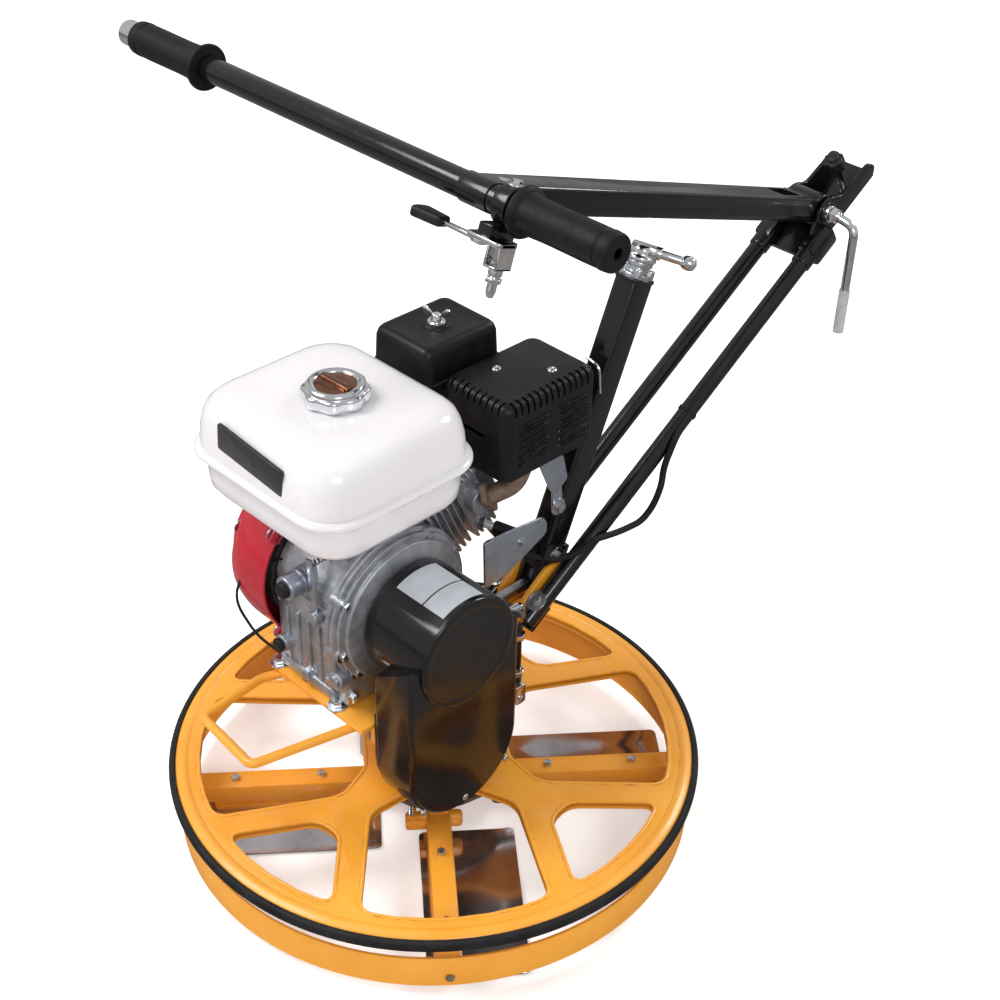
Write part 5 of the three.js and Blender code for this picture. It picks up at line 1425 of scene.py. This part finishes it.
def floor():
    mesh = bpy.data.meshes.new("studio_floor")
    corners = rectangle((-FLOOR_REACH, FLOOR_REACH), (-FLOOR_REACH, FLOOR_REACH))
    mesh.from_pydata([(*corner, 0) for corner in corners], [], [(0, 1, 2, 3)])
    holder = added("studio_floor", mesh)
    n = Nodes("pale floor")
    rays = n.new("ShaderNodeLightPath")
    tone = n.mix(n.noise(3), (0.93, 0.93, 0.93), (0.91, 0.91, 0.91))
    tone = n.mix(rays.outputs["Is Glossy Ray"], tone, (0.24, 0.225, 0.21))
    n.shader.inputs["Emission Color"].default_value = (1, 1, 1, 1)
    glow = n.math("MULTIPLY", rays.outputs["Is Camera Ray"], FLOOR_GLOW)
    n.feed(n.shader.inputs["Emission Strength"], glow)
    mesh.materials.append(n.done(tone, 0.9, specular=0.1))


def lamp(name, position, size, power):
    """A round soft lamp aimed at the machine's middle."""
    light = bpy.data.lights.new(name, "AREA")
    light.shape = "DISK"
    light.size = size
    light.energy = power
    holder = added(name, light)
    holder.location = position
    direction = Vector(LAMP_TARGET) - Vector(position)
    holder.rotation_euler = direction.to_track_quat("-Z", "Y").to_euler()


LAMP_TARGET = (0.0, 0.0, 0.35)
LAMPS = [("key", (-1.3, -1.8, 3.0), 1.8, 70), ("side", (2.4, -1.6, 2.2), 1.0, 22),
         ("rim", (0.6, 3.0, 2.6), 1.0, 40)]
AMBIENT = 0.66  # strength of the white surroundings
MIRRORED = 0.5  # how bright they look in polished surfaces


def lights():
    world = bpy.data.worlds.new("studio")
    bpy.context.scene.world = world
    world.use_nodes = True
    tree = world.node_tree
    background = tree.nodes["Background"]
    background.inputs["Color"].default_value = (1, 1, 1, 1)
    rays = tree.nodes.new("ShaderNodeLightPath")
    strength = tree.nodes.new("ShaderNodeMapRange")
    strength.inputs["To Min"].default_value = AMBIENT
    strength.inputs["To Max"].default_value = MIRRORED
    tree.links.new(rays.outputs["Is Glossy Ray"], strength.inputs["Value"])
    shown = tree.nodes.new("ShaderNodeMath")
    shown.operation = "MAXIMUM"
    tree.links.new(strength.outputs["Result"], shown.inputs[0])
    tree.links.new(rays.outputs["Is Camera Ray"], shown.inputs[1])
    tree.links.new(shown.outputs["Value"], background.inputs["Strength"])
    for name, position, size, power in LAMPS:
        lamp(name, position, size, power)
    bpy.context.scene.view_settings.view_transform = "Standard"


CAMERA_AT = (1.0966, -0.9931, 1.4597)  # metres from the foot of the rotor axis
AZIMUTH, ELEVATION, ROLL = math.radians(45.1), math.radians(34.9), math.radians(1.1)
FOCAL_LENGTH, SENSOR_WIDTH = 61.596, 36.0


def camera():
    """Looks down on the machine from its front right, over the belt cover."""
    data = bpy.data.cameras.new("camera")
    data.sensor_width = SENSOR_WIDTH
    data.lens = FOCAL_LENGTH
    data.clip_start = 0.05
    holder = added("camera", data)
    back = Vector((math.sin(AZIMUTH) * math.cos(ELEVATION), -math.cos(AZIMUTH) * math.cos(ELEVATION),
                   math.sin(ELEVATION)))
    right = Vector((math.cos(AZIMUTH), math.sin(AZIMUTH), 0))
    up = back.cross(right)
    rolled_right = right * math.cos(ROLL) + up * math.sin(ROLL)
    rolled_up = up * math.cos(ROLL) - right * math.sin(ROLL)
    holder.matrix_world = Matrix((rolled_right, rolled_up, back)).transposed().to_4x4()
    holder.location = Vector(CAMERA_AT) + ROTOR
    bpy.context.scene.camera = holder


floor()
lights()
camera()
